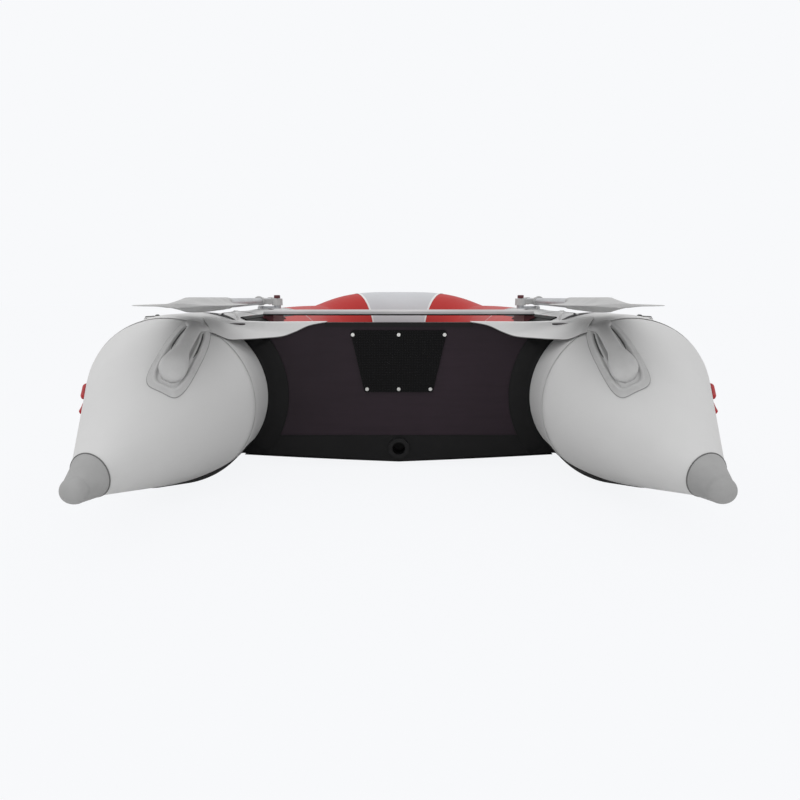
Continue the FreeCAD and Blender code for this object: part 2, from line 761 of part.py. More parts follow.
def blade_outline():
    root = -oar_reach() + BLADE_L
    tip = -oar_reach()
    half = BLADE_W / 2
    right = [
        (20, root), (34, root - 60), (72, root - 130), (half - 2, root - 210),
        (half, root - 300), (half - 3, root - 400), (half - 20, tip + 18), (half - 50, tip),
    ]
    return right + [(-x, y) for x, y in reversed(right)]


def oar_blade():
    """Flat blade with a thick middle rib that starts as a socket on the shaft."""
    z0 = -BLADE_T / 2
    plate = prism([vec(x, y, z0) for x, y in blade_outline()], vec(0, 0, BLADE_T))
    root = -oar_reach() + BLADE_L
    rings = []
    for y, a, b in ((root + 40, 18.0, 17.5), (root - 110, 21.0, 17.5), (root - 250, 20.0, 11.0),
                    (root - 400, 9.0, 4.2)):
        ellipse = Part.Ellipse(vec(0, 0, 0), a, b).toShape()
        wire = Part.Wire([ellipse])
        wire.rotate(vec(0, 0, 0), vec(1, 0, 0), 90)
        wire.translate(vec(0, y, 0))
        rings.append(wire)
    rib = Part.makeLoft(rings, True, True)
    blade = fuse([plate, rib])
    socket = rod(vec(0, root + 41, 0), vec(0, root - 100.3, 0), OAR_R + 0.05)
    return placed_oar(blade.cut(socket))


def oar_collar():
    """Sleeve on the shaft with a side lug that turns on the rowlock's upright pin."""
    sleeve = placed_oar(rod(vec(0, -45, 0), vec(0, 45, 0), OAR_R + 3.0))
    lug = rod(vec(PIN_X, LOCK_Y, ROLL_Z + 9.4), vec(PIN_X, LOCK_Y, OAR_Z + 11.6), 22.0)
    web = box(PIN_X, ROLL_X - 5, LOCK_Y - 15, LOCK_Y + 15, OAR_Z - 11, OAR_Z + 9)
    collar = fuse([sleeve, lug, web])
    bore = placed_oar(rod(vec(0, -46, 0), vec(0, 46, 0), OAR_R + 0.05))
    hole = rod(vec(PIN_X, LOCK_Y, ROLL_Z), vec(PIN_X, LOCK_Y, OAR_Z + 30), PIN_R + RUN)
    return collar.cut(bore).cut(hole)


def oar_saddle():
    """Rest for the stowed shaft, with a lip on its inboard side."""
    y = 125.0
    x = ROLL_X - (LOCK_Y - y) * math.tan(math.radians(oar_angle()))
    rest = box(x - 26, x + 20, y - 12, y + 12, 380, 429)
    lip = box(x - 26, x - 19, y - 12, y + 12, 400, 443)
    cylinder = straight_cylinder(y - 40, y + 40, TUBE_R + 2.2)
    return fuse([rest, lip]).cut(cylinder)


# ---- handles, lifelines and bow fittings ----


def cone_frame(distance, angle):
    """Placement on the aft cone: x across, y aft along the surface, z out of it."""
    t = (distance - CONE_START) / (CONE_END - CONE_START)
    r = TUBE_R + (CONE_END_R - TUBE_R) * t
    zc = AXIS_Z + (CONE_END_Z - AXIS_Z) * t
    a = math.radians(angle)
    point = vec(TUBE_SPACING + r * math.sin(a), -distance, zc + r * math.cos(a))
    run = CONE_END - CONE_START
    dr = (CONE_END_R - TUBE_R) / run
    dz = (CONE_END_Z - AXIS_Z) / run
    along = vec(dr * math.sin(a), -1, dz + dr * math.cos(a))
    along.normalize()
    across = vec(math.cos(a), 0, -math.sin(a))
    normal = across.cross(along)
    if normal.z < 0:
        normal = normal * -1
    normal.normalize()
    across = along.cross(normal)
    across.normalize()
    matrix = FreeCAD.Matrix(
        across.x, along.x, normal.x, point.x,
        across.y, along.y, normal.y, point.y,
        across.z, along.z, normal.z, point.z,
        0, 0, 0, 1,
    )
    return FreeCAD.Placement(matrix)


def stern_handle():
    """Moulded grab handle on the cone: curved base, raised rim and a barrel grip."""
    width = 110.0
    length = 222.0
    place = cone_frame(233.0, -28.0)

    def curved(outline, height):
        outline.translate(vec(0, 0, -40))
        outline.Placement = place.multiply(outline.Placement)
        return outline.common(cone_solid(height)).cut(cone_solid(GLUE_GAP))

    base = curved(rounded_plate(width, length, 80, 20), 5.0)
    rim = rounded_plate(width - 20, length - 20, 80, 14)
    inner = rounded_plate(width - 34, length - 34, 82, 9)
    inner.translate(vec(0, 0, -1))
    rim = curved(rim.cut(inner), 9.0)
    rings = []
    for y, r in ((-84.0, 9.0), (-70.0, 13.0), (-20.0, 13.5), (25.0, 18.0), (58.0, 19.0), (84.0, 10.0)):
        ring = Part.Wire([Part.makeCircle(r, vec(0, y, 30.0), vec(0, 1, 0))])
        rings.append(ring)
    grip = Part.makeLoft(rings, True, False)
    posts = []
    for y in (-76.0, 72.0):
        posts.append(rod(vec(0, y, -6), vec(0, y, 30), 9.0))
    top = fuse([grip] + posts)
    top.Placement = place.multiply(top.Placement)
    top = top.cut(cone_solid(1.0))
    return fuse([base, rim, top])


def lifeline():
    """Grab line through the holders, with a stopper knot at each end."""
    start = on_tube(LINE_ANGLE, LINE_R, HOLDER_YS[0] - 34)
    end = on_tube(LINE_ANGLE, LINE_R, HOLDER_YS[-1] + 34)
    cord = rod(start, end, 3.5)
    knots = [Part.makeSphere(6.5, p) for p in (start, end)]
    return fuse([cord] + knots)


def line_holder(y):
    centre = on_tube(LINE_ANGLE, LINE_R, y)
    barrel = rod(centre - vec(0, 17, 0), centre + vec(0, 17, 0), 6.8)
    pad = tube_sector(y - 24, y + 24, TUBE_R + GLUE_GAP, TUBE_R + 3, LINE_ANGLE - 7, LINE_ANGLE + 7)
    holder = fuse([barrel, pad])
    holder = holder.cut(rod(centre - vec(0, 30, 0), centre + vec(0, 30, 0), 3.8))
    return holder.cut(straight_cylinder(y - 30, y + 30, TUBE_R + GLUE_GAP))


def bow_offset(extra):
    """The bow section with its surface moved out, for cutting fittings to shape."""
    return bow_solid("centre", TUBE_R + extra)


def bow_spot(angle, height):
    """A point in the boat's middle plane, angle above horizontal on the bow's front."""
    centre = arc_point(90.0)
    a = math.radians(angle)
    r = TUBE_R + height
    return vec(0, centre.y + r * math.cos(a), centre.z + r * math.sin(a))


def bow_pad(x, angle, radius, thickness):
    """Round patch on the bow's front, curved to the tube."""
    spot = bow_spot(angle, 0)
    normal = bow_spot(angle, 10) - spot
    spot.x = x
    patch = rod(spot - normal * 5, spot + normal * 5, radius)
    return patch.common(bow_offset(thickness)).cut(bow_offset(GLUE_GAP))


def bow_handle():
    """Webbing loop above the stem."""
    angle = 48.0
    pads = [bow_pad(x, angle, 36.0, 3.0) for x in (-105.0, 105.0)]
    spot = bow_spot(angle, 0)
    normal = bow_spot(angle, 1) - spot
    side = vec(0, -normal.z, normal.y)
    outer = []
    inner = []
    for i in range(17):
        t = -1 + i / 8.0
        high = 34.0 * (1 - t ** 4) ** 0.5
        outer.append(spot + vec(112.0 * t, 0, 0) + normal * high - side * 14)
        inner.append(spot + vec(106.0 * t, 0, 0) + normal * (high - 5.0) - side * 14)
    strap = prism(outer + inner[::-1], side * 28)
    strap = strap.cut(bow_offset(1.0))
    return fuse(pads + [strap])


def ring_axis():
    return bow_spot(RING_ANGLE, RING_BAR)


def towing_patch():
    """Patch under the stem with the lug that carries the towing ring."""
    pad = bow_pad(0.0, RING_ANGLE, 48.0, 3.0)
    pivot = ring_axis()
    root = bow_spot(RING_ANGLE, -8)
    barrel = rod(pivot - vec(14, 0, 0), pivot + vec(14, 0, 0), 8.0)
    neck = prism([
        root + vec(-14, -6, -6), root + vec(-14, 6, 6), pivot + vec(-14, 5, 5), pivot + vec(-14, -5, -5),
    ], vec(28, 0, 0))
    lug = fuse([barrel, neck]).cut(bow_offset(GLUE_GAP))
    lug = fuse([pad, lug])
    return lug.cut(rod(pivot - vec(30, 0, 0), pivot + vec(30, 0, 0), 4.0 + RUN))


def towing_ring():
    """Steel ring hanging from its straight bar."""
    pivot = ring_axis()
    wide = 24.0
    deep = 46.0
    bar = rod(pivot - vec(wide, 0, 0), pivot + vec(wide, 0, 0), 4.0)
    legs = []
    for side in (-1, 1):
        top = pivot + vec(side * wide, 0, 0)
        legs.append(rod(top, top - vec(0, 0, deep - wide), 4.0))
        legs.append(Part.makeSphere(4.0, top))
        legs.append(Part.makeSphere(4.0, top - vec(0, 0, deep - wide)))
    half = Part.makeTorus(wide, 4.0, vec(0, 0, 0), vec(0, 1, 0))
    half = half.common(box(-60, 60, -10, 10, -60, 0))
    half.translate(pivot - vec(0, 0, deep - wide))
    return fuse([bar, half] + legs)


# ---- write the parts ----


def origin_offset():
    """Half way between the cap's tip and the bow strake, measured from the transom."""
    front = BOW_ARC_Y + TUBE_SPACING + TUBE_R + STRAKE_RIDGE
    direction = vec(0, -(CAP_TIP_Y - CONE_END), CAP_TIP_Z - CONE_END_Z)
    direction.normalize()
    aft = -CAP_TIP_Y + CAP_TIP_R * direction.y
    return (front + aft) / 2.0


def write(name, shapes):
    solids = []
    for shape in shapes:
        solids += shape.Solids
    for solid in solids:
        if not solid.isValid() or solid.Volume <= 0:
            print("check", name, solid.isValid(), solid.Volume)
    whole = Part.makeCompound(solids) if len(solids) > 1 else solids[0]
    whole.translate(vec(0, -origin_offset(), 0))
    whole.exportStep("parts/%s.step" % name)


def write_pair(name, shapes):
    write(name + "_starboard", [s.copy() for s in shapes])
    write(name + "_port", [mirrored(s) for s in shapes])


def both(shapes):
    return list(shapes) + [mirrored(s) for s in shapes]


def main():
    os.makedirs("parts", exist_ok=True)
    write("side_tube_starboard", [side_tube(1)])
    write("side_tube_port", [side_tube(-1)])
    write_pair("bow_tube", [hollow_bow("quarter")])
    write("bow_tube_centre", [hollow_bow("centre")])
    write_pair("aft_cone", [aft_cone()])
    write("cone_caps", both([cone_cap()]))
    write("chamber_baffles", both([chamber_baffle()]))
    write("seam_bands", both([seam_band()]))
    write_pair("rub_strake", [side_strake()])
    write("rub_strake_bow", bow_strakes())
    write("chafe_strips", both([chafe_strip()]))
    write("bottom_skin", [bottom_skin()])
    write("air_keel", [keel_tube()])
    first, second = FLOOR_JOINTS
    write("floor_board_aft", [floor_board_aft()])
    write("floor_board_middle", [floor_board(first + BOARD_GAP, second - BOARD_GAP)])
    write("floor_board_bow", [floor_board(second + BOARD_GAP, FLOOR_END, nose=True)])
    write("floor_joiners", [floor_joiner(y) for y in FLOOR_JOINTS])
    write("floor_stringers", both([floor_stringer()]))
    write("transom_board", [transom_board()])
    write("transom_top_trim", [transom_top_trim()])
    write("transom_bottom_band", [transom_bottom_band()])
    write("transom_flanges", both(transom_flanges()))
    write("corner_gussets", both(corner_gusset()))
    write("motor_pad_outer", [motor_pad(-PAD_T - PAD_GAP, -1)])
    write("motor_pad_inner", [motor_pad(BOARD_T + PAD_GAP, 1)])
    screws = [pad_screw(x, z, inner) for inner in (False, True) for x, z in screw_axes()]
    write("motor_pad_screws", screws)
    write("drain_valve_body", [drain_body()])
    write("drain_valve_nut", [drain_nut()])
    write("drain_valve_flap", [drain_flap()])
    names = ("port", "starboard", "bow")
    bodies = []
    for name, (side, y) in zip(names, valve_seats()):
        body = air_valve(y)
        cap = valve_cap(y)
        bodies.append(body if side > 0 else mirrored(body))
        write("air_valve_cap_" + name, [cap if side > 0 else mirrored(cap)])
    write("air_valve_bodies", bodies)
    write("bench_board", [bench_board()])
    write("bench_tracks", both([bench_track()]))
    write("bench_clips", both([bench_clip()]))
    write("rowlock_bases", both([rowlock_base()]))
    write_pair("rowlock_cradle", [rowlock_cradle()])
    write_pair("rowlock_knob", [rowlock_knob()])
    write_pair("oar_shaft", [oar_shaft()])
    write_pair("oar_grip", [oar_grip()])
    write_pair("oar_blade", [oar_blade()])
    write_pair("oar_collar", [oar_collar()])
    write("oar_saddles", both([oar_saddle()]))
    write_pair("stern_handle", [stern_handle()])
    write("lifelines", both([lifeline()]))
    write("lifeline_holders", both([line_holder(y) for y in HOLDER_YS]))
    write("bow_handle", [bow_handle()])
    write("towing_patch", [towing_patch()])
    write("towing_ring", [towing_ring()])


main()
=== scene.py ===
import math

import bmesh
import bpy
from mathutils import Matrix, Vector, noise


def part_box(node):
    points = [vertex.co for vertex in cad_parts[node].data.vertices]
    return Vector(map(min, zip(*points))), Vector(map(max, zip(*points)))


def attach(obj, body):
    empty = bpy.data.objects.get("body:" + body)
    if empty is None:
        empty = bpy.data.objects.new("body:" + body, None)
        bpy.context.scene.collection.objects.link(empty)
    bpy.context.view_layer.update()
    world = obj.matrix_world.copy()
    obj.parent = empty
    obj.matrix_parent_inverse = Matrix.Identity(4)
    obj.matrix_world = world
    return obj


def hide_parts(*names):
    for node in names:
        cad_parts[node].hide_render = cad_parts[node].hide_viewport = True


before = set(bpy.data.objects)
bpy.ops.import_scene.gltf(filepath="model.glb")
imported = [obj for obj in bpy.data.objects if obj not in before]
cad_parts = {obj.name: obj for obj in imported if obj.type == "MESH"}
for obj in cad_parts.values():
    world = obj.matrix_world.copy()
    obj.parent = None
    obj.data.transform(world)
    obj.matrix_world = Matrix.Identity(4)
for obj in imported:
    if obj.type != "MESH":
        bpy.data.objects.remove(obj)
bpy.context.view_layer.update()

# ---- sizes read from the CAD frame, in metres ----

tube_low, tube_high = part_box("side_tube_starboard")
TUBE_R = (tube_high.x - tube_low.x) / 2
TUBE_X = (tube_high.x + tube_low.x) / 2
AXIS_Z = (tube_high.z + tube_low.z) / 2
CONE_Y = tube_low.y
BOW_Y = tube_high.y
board_low, board_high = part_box("transom_board")
TRANSOM_Y = board_low.y
BOARD_T = board_high.y - board_low.y
BOARD_TOP = board_high.z
bow_low, bow_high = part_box("bow_tube_centre")
STEM_Y = bow_high.y - TUBE_R
ARC_Y = STEM_Y - TUBE_X
RISE = bow_high.z - TUBE_R - AXIS_Z
RISE_RUN = 0.295
cone_low, cone_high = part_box("aft_cone_starboard")
CONE_END_Y = cone_low.y
cap_low, cap_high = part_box("cone_caps")
CONE_END_R = 0.040
CONE_END_Z = AXIS_Z - 0.0665
CONE_LENGTH = CONE_Y - CONE_END_Y
CAP_RUN = 0.0515
CAP_TIP_R = 0.0240
CAP_TIP_Z = AXIS_Z - 0.074
CAP_SKEW = 0.030
TIP_T = 1 + CAP_RUN / CONE_LENGTH
SEAM_ANGLE = 64.0
SKIN = 0.0016
SIDES = (("port", -1), ("starboard", 1))


# ---- node material helpers ----


class Tree:
    """Thin wrapper that adds and links shader nodes."""

    def __init__(self, name):
        self.material = bpy.data.materials.new(name)
        self.material.use_nodes = True
        self.nodes = self.material.node_tree.nodes
        self.links = self.material.node_tree.links
        self.shader = self.nodes["Principled BSDF"]

    def add(self, kind, inputs=None, **settings):
        node = self.nodes.new(kind)
        for key, value in settings.items():
            setattr(node, key, value)
        for key, value in (inputs or {}).items():
            self.set(node.inputs[key], value)
        return node

    def set(self, socket, value):
        if isinstance(value, bpy.types.NodeSocket):
            self.links.new(value, socket)
        elif isinstance(value, bpy.types.Node):
            self.links.new(value.outputs[0], socket)
        else:
            socket.default_value = value

    def place(self, kind="Object", scale=(1, 1, 1)):
        coords = self.add("ShaderNodeTexCoord").outputs[kind]
        return self.add("ShaderNodeMapping", {"Vector": coords, "Scale": scale}).outputs[0]

    def noise(self, scale, detail=3.0, rough=0.5, vector=None):
        inputs = {"Scale": scale, "Detail": detail, "Roughness": rough}
        inputs["Vector"] = vector or self.place()
        return self.add("ShaderNodeTexNoise", inputs).outputs["Fac"]

    def math(self, operation, a, b=0.0):
        return self.add("ShaderNodeMath", {0: a, 1: b}, operation=operation).outputs[0]

    def ramp(self, value, low, high, start=0.0, end=1.0):
        node = self.add("ShaderNodeMapRange", {"Value": value, "From Min": start, "From Max": end,
                                               "To Min": low, "To Max": high})
        return node.outputs[0]

    def tint(self, value, first, second):
        node = self.add("ShaderNodeMix", {0: value}, data_type="RGBA")
        self.set(node.inputs[6], (*first, 1))
        self.set(node.inputs[7], (*second, 1))
        return node.outputs[2]

    def mix(self, value, first, second):
        node = self.add("ShaderNodeMix", {0: value}, data_type="RGBA")
        self.set(node.inputs[6], first)
        self.set(node.inputs[7], second)
        return node.outputs[2]

    def bump(self, height, strength, distance, normal=None):
        inputs = {"Height": height, "Strength": strength, "Distance": distance}
        if normal is not None:
            inputs["Normal"] = normal
        return self.add("ShaderNodeBump", inputs).outputs[0]

    def finish(self, colour, rough, normal=None, **extra):
        self.set(self.shader.inputs["Base Color"], colour)
        self.set(self.shader.inputs["Roughness"], rough)
        if normal is not None:
            self.set(self.shader.inputs["Normal"], normal)
        for key, value in extra.items():
            self.set(self.shader.inputs[key.replace("_", " ")], value)
        return self.material


def shade(colour, factor):
    return tuple(min(1.0, c * factor) for c in colour)


def coated_fabric(name, colour, kind="UV"):
    """Vinyl-coated cloth: faint scrim weave, cloudy colour and soft scuffs."""
    t = Tree(name)
    clouds = t.noise(3.0, 4.0)
    scuffs = t.noise(38.0, 6.0, 0.7)
    base = t.tint(t.ramp(clouds, 0, 1, 0.3, 0.7), shade(colour, 0.955), shade(colour, 1.03))
    worn = t.mix(t.ramp(scuffs, 0, 0.25, 0.62, 0.75), base, (*shade(colour, 0.86), 1))
    where = t.place(kind)
    warp = t.add("ShaderNodeTexWave", {"Vector": where, "Scale": 150.0}, bands_direction="X")
    weft = t.add("ShaderNodeTexWave", {"Vector": where, "Scale": 150.0}, bands_direction="Y")
    weave = t.math("MULTIPLY", warp.outputs["Fac"], weft.outputs["Fac"])
    grain = t.noise(900.0, 2.0)
    height = t.math("ADD", t.math("MULTIPLY", weave, 0.6), t.math("MULTIPLY", grain, 0.5))
    fine = t.bump(height, 0.10, 0.0004)
    swell = t.bump(t.noise(9.0, 2.0), 0.10, 0.004, fine)
    rough = t.ramp(scuffs, 0.42, 0.60)
    return t.finish(worn, rough, swell, Specular_IOR_Level=0.28)


def moulded_rubber(name, colour, grain_scale=700.0):
    """Fine-pebbled moulded rubber, paler where it is rubbed."""
    t = Tree(name)
    clouds = t.noise(14.0, 5.0)
    pebble = t.add("ShaderNodeTexVoronoi", {"Vector": t.place(), "Scale": grain_scale})
    edge = t.add("ShaderNodeNewGeometry").outputs["Pointiness"]
    base = t.tint(t.ramp(clouds, 0, 1, 0.35, 0.65), shade(colour, 0.9), shade(colour, 1.06))
    rubbed = t.mix(t.ramp(edge, 0, 0.35, 0.52, 0.60), base, (*shade(colour, 1.35), 1))
    fine = t.bump(pebble.outputs["Distance"], 0.22, 0.0005)
    return t.finish(rubbed, t.ramp(clouds, 0.55, 0.70), fine, Specular_IOR_Level=0.22)


def ribbed_rubber(name, colour, axis, pitch):
    """Rubber strip with fine ribs square to one axis."""
    t = Tree(name)
    wave = t.add("ShaderNodeTexWave", {"Vector": t.place(), "Scale": 0.314 / pitch},
                 bands_direction=axis)
    dust = t.noise(60.0, 5.0, 0.65)
    base = t.tint(t.ramp(dust, 0, 1, 0.4, 0.75), colour, shade(colour, 1.7))
    ribs = t.bump(wave.outputs["Fac"], 0.45, 0.0012)
    return t.finish(base, t.ramp(dust, 0.5, 0.72), t.bump(dust, 0.15, 0.0006, ribs),
                    Specular_IOR_Level=0.35)


def grid_pad(name, colour):
    """Moulded pad with a square grid of small raised studs, painted lighter on the studs and darker in
    the gaps between them: painted highlight and painted shade.
    """
    t = Tree(name)
    where = t.place()
    across = t.add("ShaderNodeTexWave", {"Vector": where, "Scale": 46.0}, bands_direction="X")
    down = t.add("ShaderNodeTexWave", {"Vector": where, "Scale": 46.0}, bands_direction="Z")
    studs = t.math("MULTIPLY", across.outputs["Fac"], down.outputs["Fac"])
    dust = t.noise(45.0, 6.0, 0.7)
    # Painted highlight on the stud tops and painted shade in the gaps, from the same stud pattern as
    # the bump.
    base = t.tint(t.ramp(studs, 0, 1, 0.15, 0.7), shade(colour, 0.45), shade(colour, 1.5))
    scuffed = t.mix(t.ramp(dust, 0, 0.3, 0.6, 0.8), base, (*shade(colour, 3.0), 1))
    return t.finish(scuffed, t.ramp(dust, 0.55, 0.75), t.bump(studs, 0.6, 0.0015),
                    Specular_IOR_Level=0.12)


def painted_ply(name, colour, grain):
    """Painted plywood: wood grain and brush marks just showing through satin paint."""
    t = Tree(name)
    along = t.place("Object", grain)
    lines = t.add("ShaderNodeTexNoise", {"Vector": along, "Scale": 6.0, "Detail": 7.0,
                                         "Roughness": 0.62, "Distortion": 0.6}).outputs["Fac"]
    clouds = t.noise(4.0, 4.0)
    base = t.tint(t.ramp(clouds, 0, 1, 0.35, 0.7), shade(colour, 0.86), shade(colour, 1.15))
    grained = t.mix(t.ramp(lines, 0, 0.30, 0.45, 0.7), base, (*shade(colour, 0.72), 1))
    height = t.math("ADD", lines, t.math("MULTIPLY", t.noise(420.0, 2.0), 0.3))
    return t.finish(grained, t.ramp(lines, 0.42, 0.58), t.bump(height, 0.18, 0.0008),
                    Specular_IOR_Level=0.18)


def hard_plastic(name, colour, rough=0.38):
    """Injection-moulded plastic with spark-eroded grain and rubbed edges."""
    t = Tree(name)
    edge = t.add("ShaderNodeNewGeometry").outputs["Pointiness"]
    clouds = t.noise(22.0, 4.0)
    base = t.tint(t.ramp(clouds, 0, 1, 0.35, 0.65), shade(colour, 0.92), shade(colour, 1.08))
    rubbed = t.mix(t.ramp(edge, 0, 0.4, 0.52, 0.6), base, (*shade(colour, 1.5), 1))
    grain = t.noise(1300.0, 2.0)
    return t.finish(rubbed, t.ramp(clouds, rough - 0.05, rough + 0.1), t.bump(grain, 0.12, 0.0004))


def brushed_metal(name, colour, scale, rough=0.28):
    """Drawn metal with fine lines along the piece and dull patches."""
    t = Tree(name)
    lines = t.noise(30.0, 6.0, 0.7, t.place("Object", scale))
    patches = t.noise(12.0, 4.0)
    base = t.tint(t.ramp(lines, 0, 1, 0.35, 0.65), shade(colour, 0.85), shade(colour, 1.08))
    worn = t.math("ADD", t.ramp(patches, 0.0, 0.14, 0.4, 0.7), t.ramp(lines, rough, rough + 0.1))
    return t.finish(base, worn, t.bump(lines, 0.12, 0.0003), Metallic=1.0)


def braided_cord(name, colour):
    t = Tree(name)
    wave = t.add("ShaderNodeTexWave", {"Vector": t.place("UV"), "Scale": 60.0},
                 bands_direction="DIAGONAL")
    fuzz = t.noise(500.0, 4.0)
    base = t.tint(wave.outputs["Fac"], shade(colour, 0.6), shade(colour, 2.2))
    height = t.math("ADD", wave.outputs["Fac"], t.math("MULTIPLY", fuzz, 0.4))
    return t.finish(base, 0.8, t.bump(height, 0.6, 0.0012), Sheen_Weight=0.3)


LIGHT_GREY = (0.60, 0.60, 0.60)
RED = (0.48, 0.025, 0.023)
BLACK = (0.0022, 0.0022, 0.0026)

SKIN_GREY = coated_fabric("skin_grey", LIGHT_GREY)
SKIN_BOW = coated_fabric("skin_bow", (0.575, 0.585, 0.61))
SKIN_RED = coated_fabric("skin_red", RED)
SKIN_BLACK = coated_fabric("skin_black", BLACK)
FLAP_GREY = coated_fabric("flap_grey", shade(LIGHT_GREY, 1.08))
TAPE_GREY = coated_fabric("tape_grey", shade(LIGHT_GREY, 1.03))
TAPE_PALE = coated_fabric("tape_pale", (0.80, 0.80, 0.80))
BEAD = hard_plastic("bead_grey", (0.12, 0.12, 0.12), 0.5)
GLUE = hard_plastic("glue_grey", (0.27, 0.27, 0.27), 0.5)
DECAL_DARK = coated_fabric("decal_dark", (0.075, 0.075, 0.08))
DECAL_RED = coated_fabric("decal_red", (0.52, 0.04, 0.038))
MOULDED_GREY = moulded_rubber("moulded_grey", (0.42, 0.42, 0.42))
HANDLE_GREY = moulded_rubber("handle_grey", (0.49, 0.49, 0.49), 520.0)
CAP_GREY = moulded_rubber("cap_grey", (0.34, 0.34, 0.34), 420.0)
PALE_RUBBER = moulded_rubber("pale_rubber", (0.58, 0.58, 0.58))
BLACK_RUBBER = moulded_rubber("black_rubber", BLACK, 500.0)
STRAKE_RED = moulded_rubber("strake_red", (0.40, 0.03, 0.035), 300.0)
CHAFE = ribbed_rubber("chafe_rubber", BLACK, "Y", 0.006)
TRANSOM = painted_ply("transom_paint", (0.0175, 0.0100, 0.0155), (1.0, 30.0, 12.0))
BENCH = painted_ply("bench_paint", (0.50, 0.49, 0.50), (1.0, 14.0, 14.0))
FLOOR = painted_ply("floor_paint", (0.20, 0.20, 0.20), (10.0, 1.0, 10.0))
PAD = grid_pad("pad_studs", (0.0040, 0.0040, 0.0045))
TRIM = moulded_rubber("trim_rubber", (0.006, 0.005, 0.006), 600.0)
VALVE = moulded_rubber("valve_rubber", (0.006, 0.006, 0.0065), 900.0)
OAR_PLASTIC = hard_plastic("oar_plastic", (0.43, 0.43, 0.43), 0.45)
MAROON = hard_plastic("maroon_plastic", (0.10, 0.018, 0.025), 0.35)
STEEL = brushed_metal("screw_steel", (0.50, 0.50, 0.49), (1.0, 1.0, 1.0), 0.24)
ALLOY = brushed_metal("oar_alloy", (0.52, 0.53, 0.55), (8.0, 0.4, 8.0), 0.34)
CORD = braided_cord("black_cord", (0.02, 0.02, 0.02))
WEBBING = coated_fabric("black_webbing", (0.012, 0.012, 0.013))

NODE_LOOKS = {
    "cone_caps": CAP_GREY, "rub_strake_port": STRAKE_RED, "rub_strake_starboard": STRAKE_RED,
    "rub_strake_bow": STRAKE_RED, "chafe_strips": CHAFE, "chamber_baffles": SKIN_GREY,
    "air_keel": SKIN_BLACK, "floor_board_aft": FLOOR, "floor_board_middle": FLOOR,
    "floor_board_bow": FLOOR, "floor_joiners": ALLOY, "floor_stringers": ALLOY,
    "transom_board": TRANSOM, "transom_top_trim": TRIM, "transom_bottom_band": BLACK_RUBBER,
    "transom_flanges": BLACK_RUBBER, "motor_pad_outer": PAD, "motor_pad_inner": PAD,
    "motor_pad_screws": STEEL, "drain_valve_body": VALVE, "drain_valve_nut": VALVE,
    "drain_valve_flap": VALVE, "air_valve_bodies": MOULDED_GREY, "air_valve_cap_port": VALVE,
    "air_valve_cap_starboard": VALVE, "air_valve_cap_bow": VALVE, "bench_board": BENCH,
    "bench_tracks": BLACK_RUBBER, "bench_clips": MAROON, "rowlock_bases": PALE_RUBBER,
    "oar_saddles": PALE_RUBBER, "stern_handle_port": MOULDED_GREY,
    "stern_handle_starboard": MOULDED_GREY, "lifeline_holders": PALE_RUBBER,
    "bow_handle": BLACK_RUBBER, "towing_patch": MOULDED_GREY, "towing_ring": STEEL,
}
for side_name, _ in SIDES:
    NODE_LOOKS["rowlock_cradle_" + side_name] = ALLOY
    NODE_LOOKS["rowlock_knob_" + side_name] = MAROON
    NODE_LOOKS["oar_shaft_" + side_name] = ALLOY
    for piece in ("grip", "blade", "collar"):
        NODE_LOOKS["oar_%s_%s" % (piece, side_name)] = OAR_PLASTIC


def dress_cad_nodes():
    """Gives each carried-over CAD node its material and a soft edge."""
    for name, look in NODE_LOOKS.items():
        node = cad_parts[name]
        node.data.materials.clear()
        node.data.materials.append(look)
        node.data.shade_smooth()
        node.data.set_sharp_from_angle(angle=math.radians(32))


# ---- mesh helpers ----


def new_piece(name, verts, faces, material, uvs=None, body="hull", smooth=True):
    mesh = bpy.data.meshes.new(name)
    mesh.from_pydata([tuple(v) for v in verts], [], faces)
    if uvs is not None:
        layer = mesh.uv_layers.new(name="metres")
        for loop in mesh.loops:
            layer.data[loop.index].uv = uvs[loop.vertex_index]
    mesh.validate()
    mesh.materials.append(material)
    obj = bpy.data.objects.new(name, mesh)
    bpy.context.collection.objects.link(obj)
    if smooth:
        mesh.shade_smooth()
    if body:
        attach(obj, body)
    return obj


def grid_faces(rows, columns, wrap):
    faces = []
    last = columns if wrap else columns - 1
    for i in range(rows - 1):
        for j in range(last):
            k = (j + 1) % columns
            faces.append((i * columns + j, i * columns + k,
                          (i + 1) * columns + k, (i + 1) * columns + j))
    return faces


def outward(obj):
    """Makes the faces of a closed mesh point out."""
    mesh = bmesh.new()
    mesh.from_mesh(obj.data)
    bmesh.ops.recalc_face_normals(mesh, faces=mesh.faces)
    mesh.to_mesh(obj.data)
    mesh.free()


def loft(name, rings, material, body="hull", uvs=None, sharp=50):
    """Closed solid through loops of points, capped at both ends."""
    count = len(rings[0])
    verts = [p for ring in rings for p in ring]
    faces = grid_faces(len(rings), count, True)
    faces.append(tuple(range(count)))
    faces.append(tuple(reversed(range(len(verts) - count, len(verts)))))
    obj = new_piece(name, verts, faces, material, uvs, body)
    outward(obj)
    obj.data.set_sharp_from_angle(angle=math.radians(sharp))
    return obj


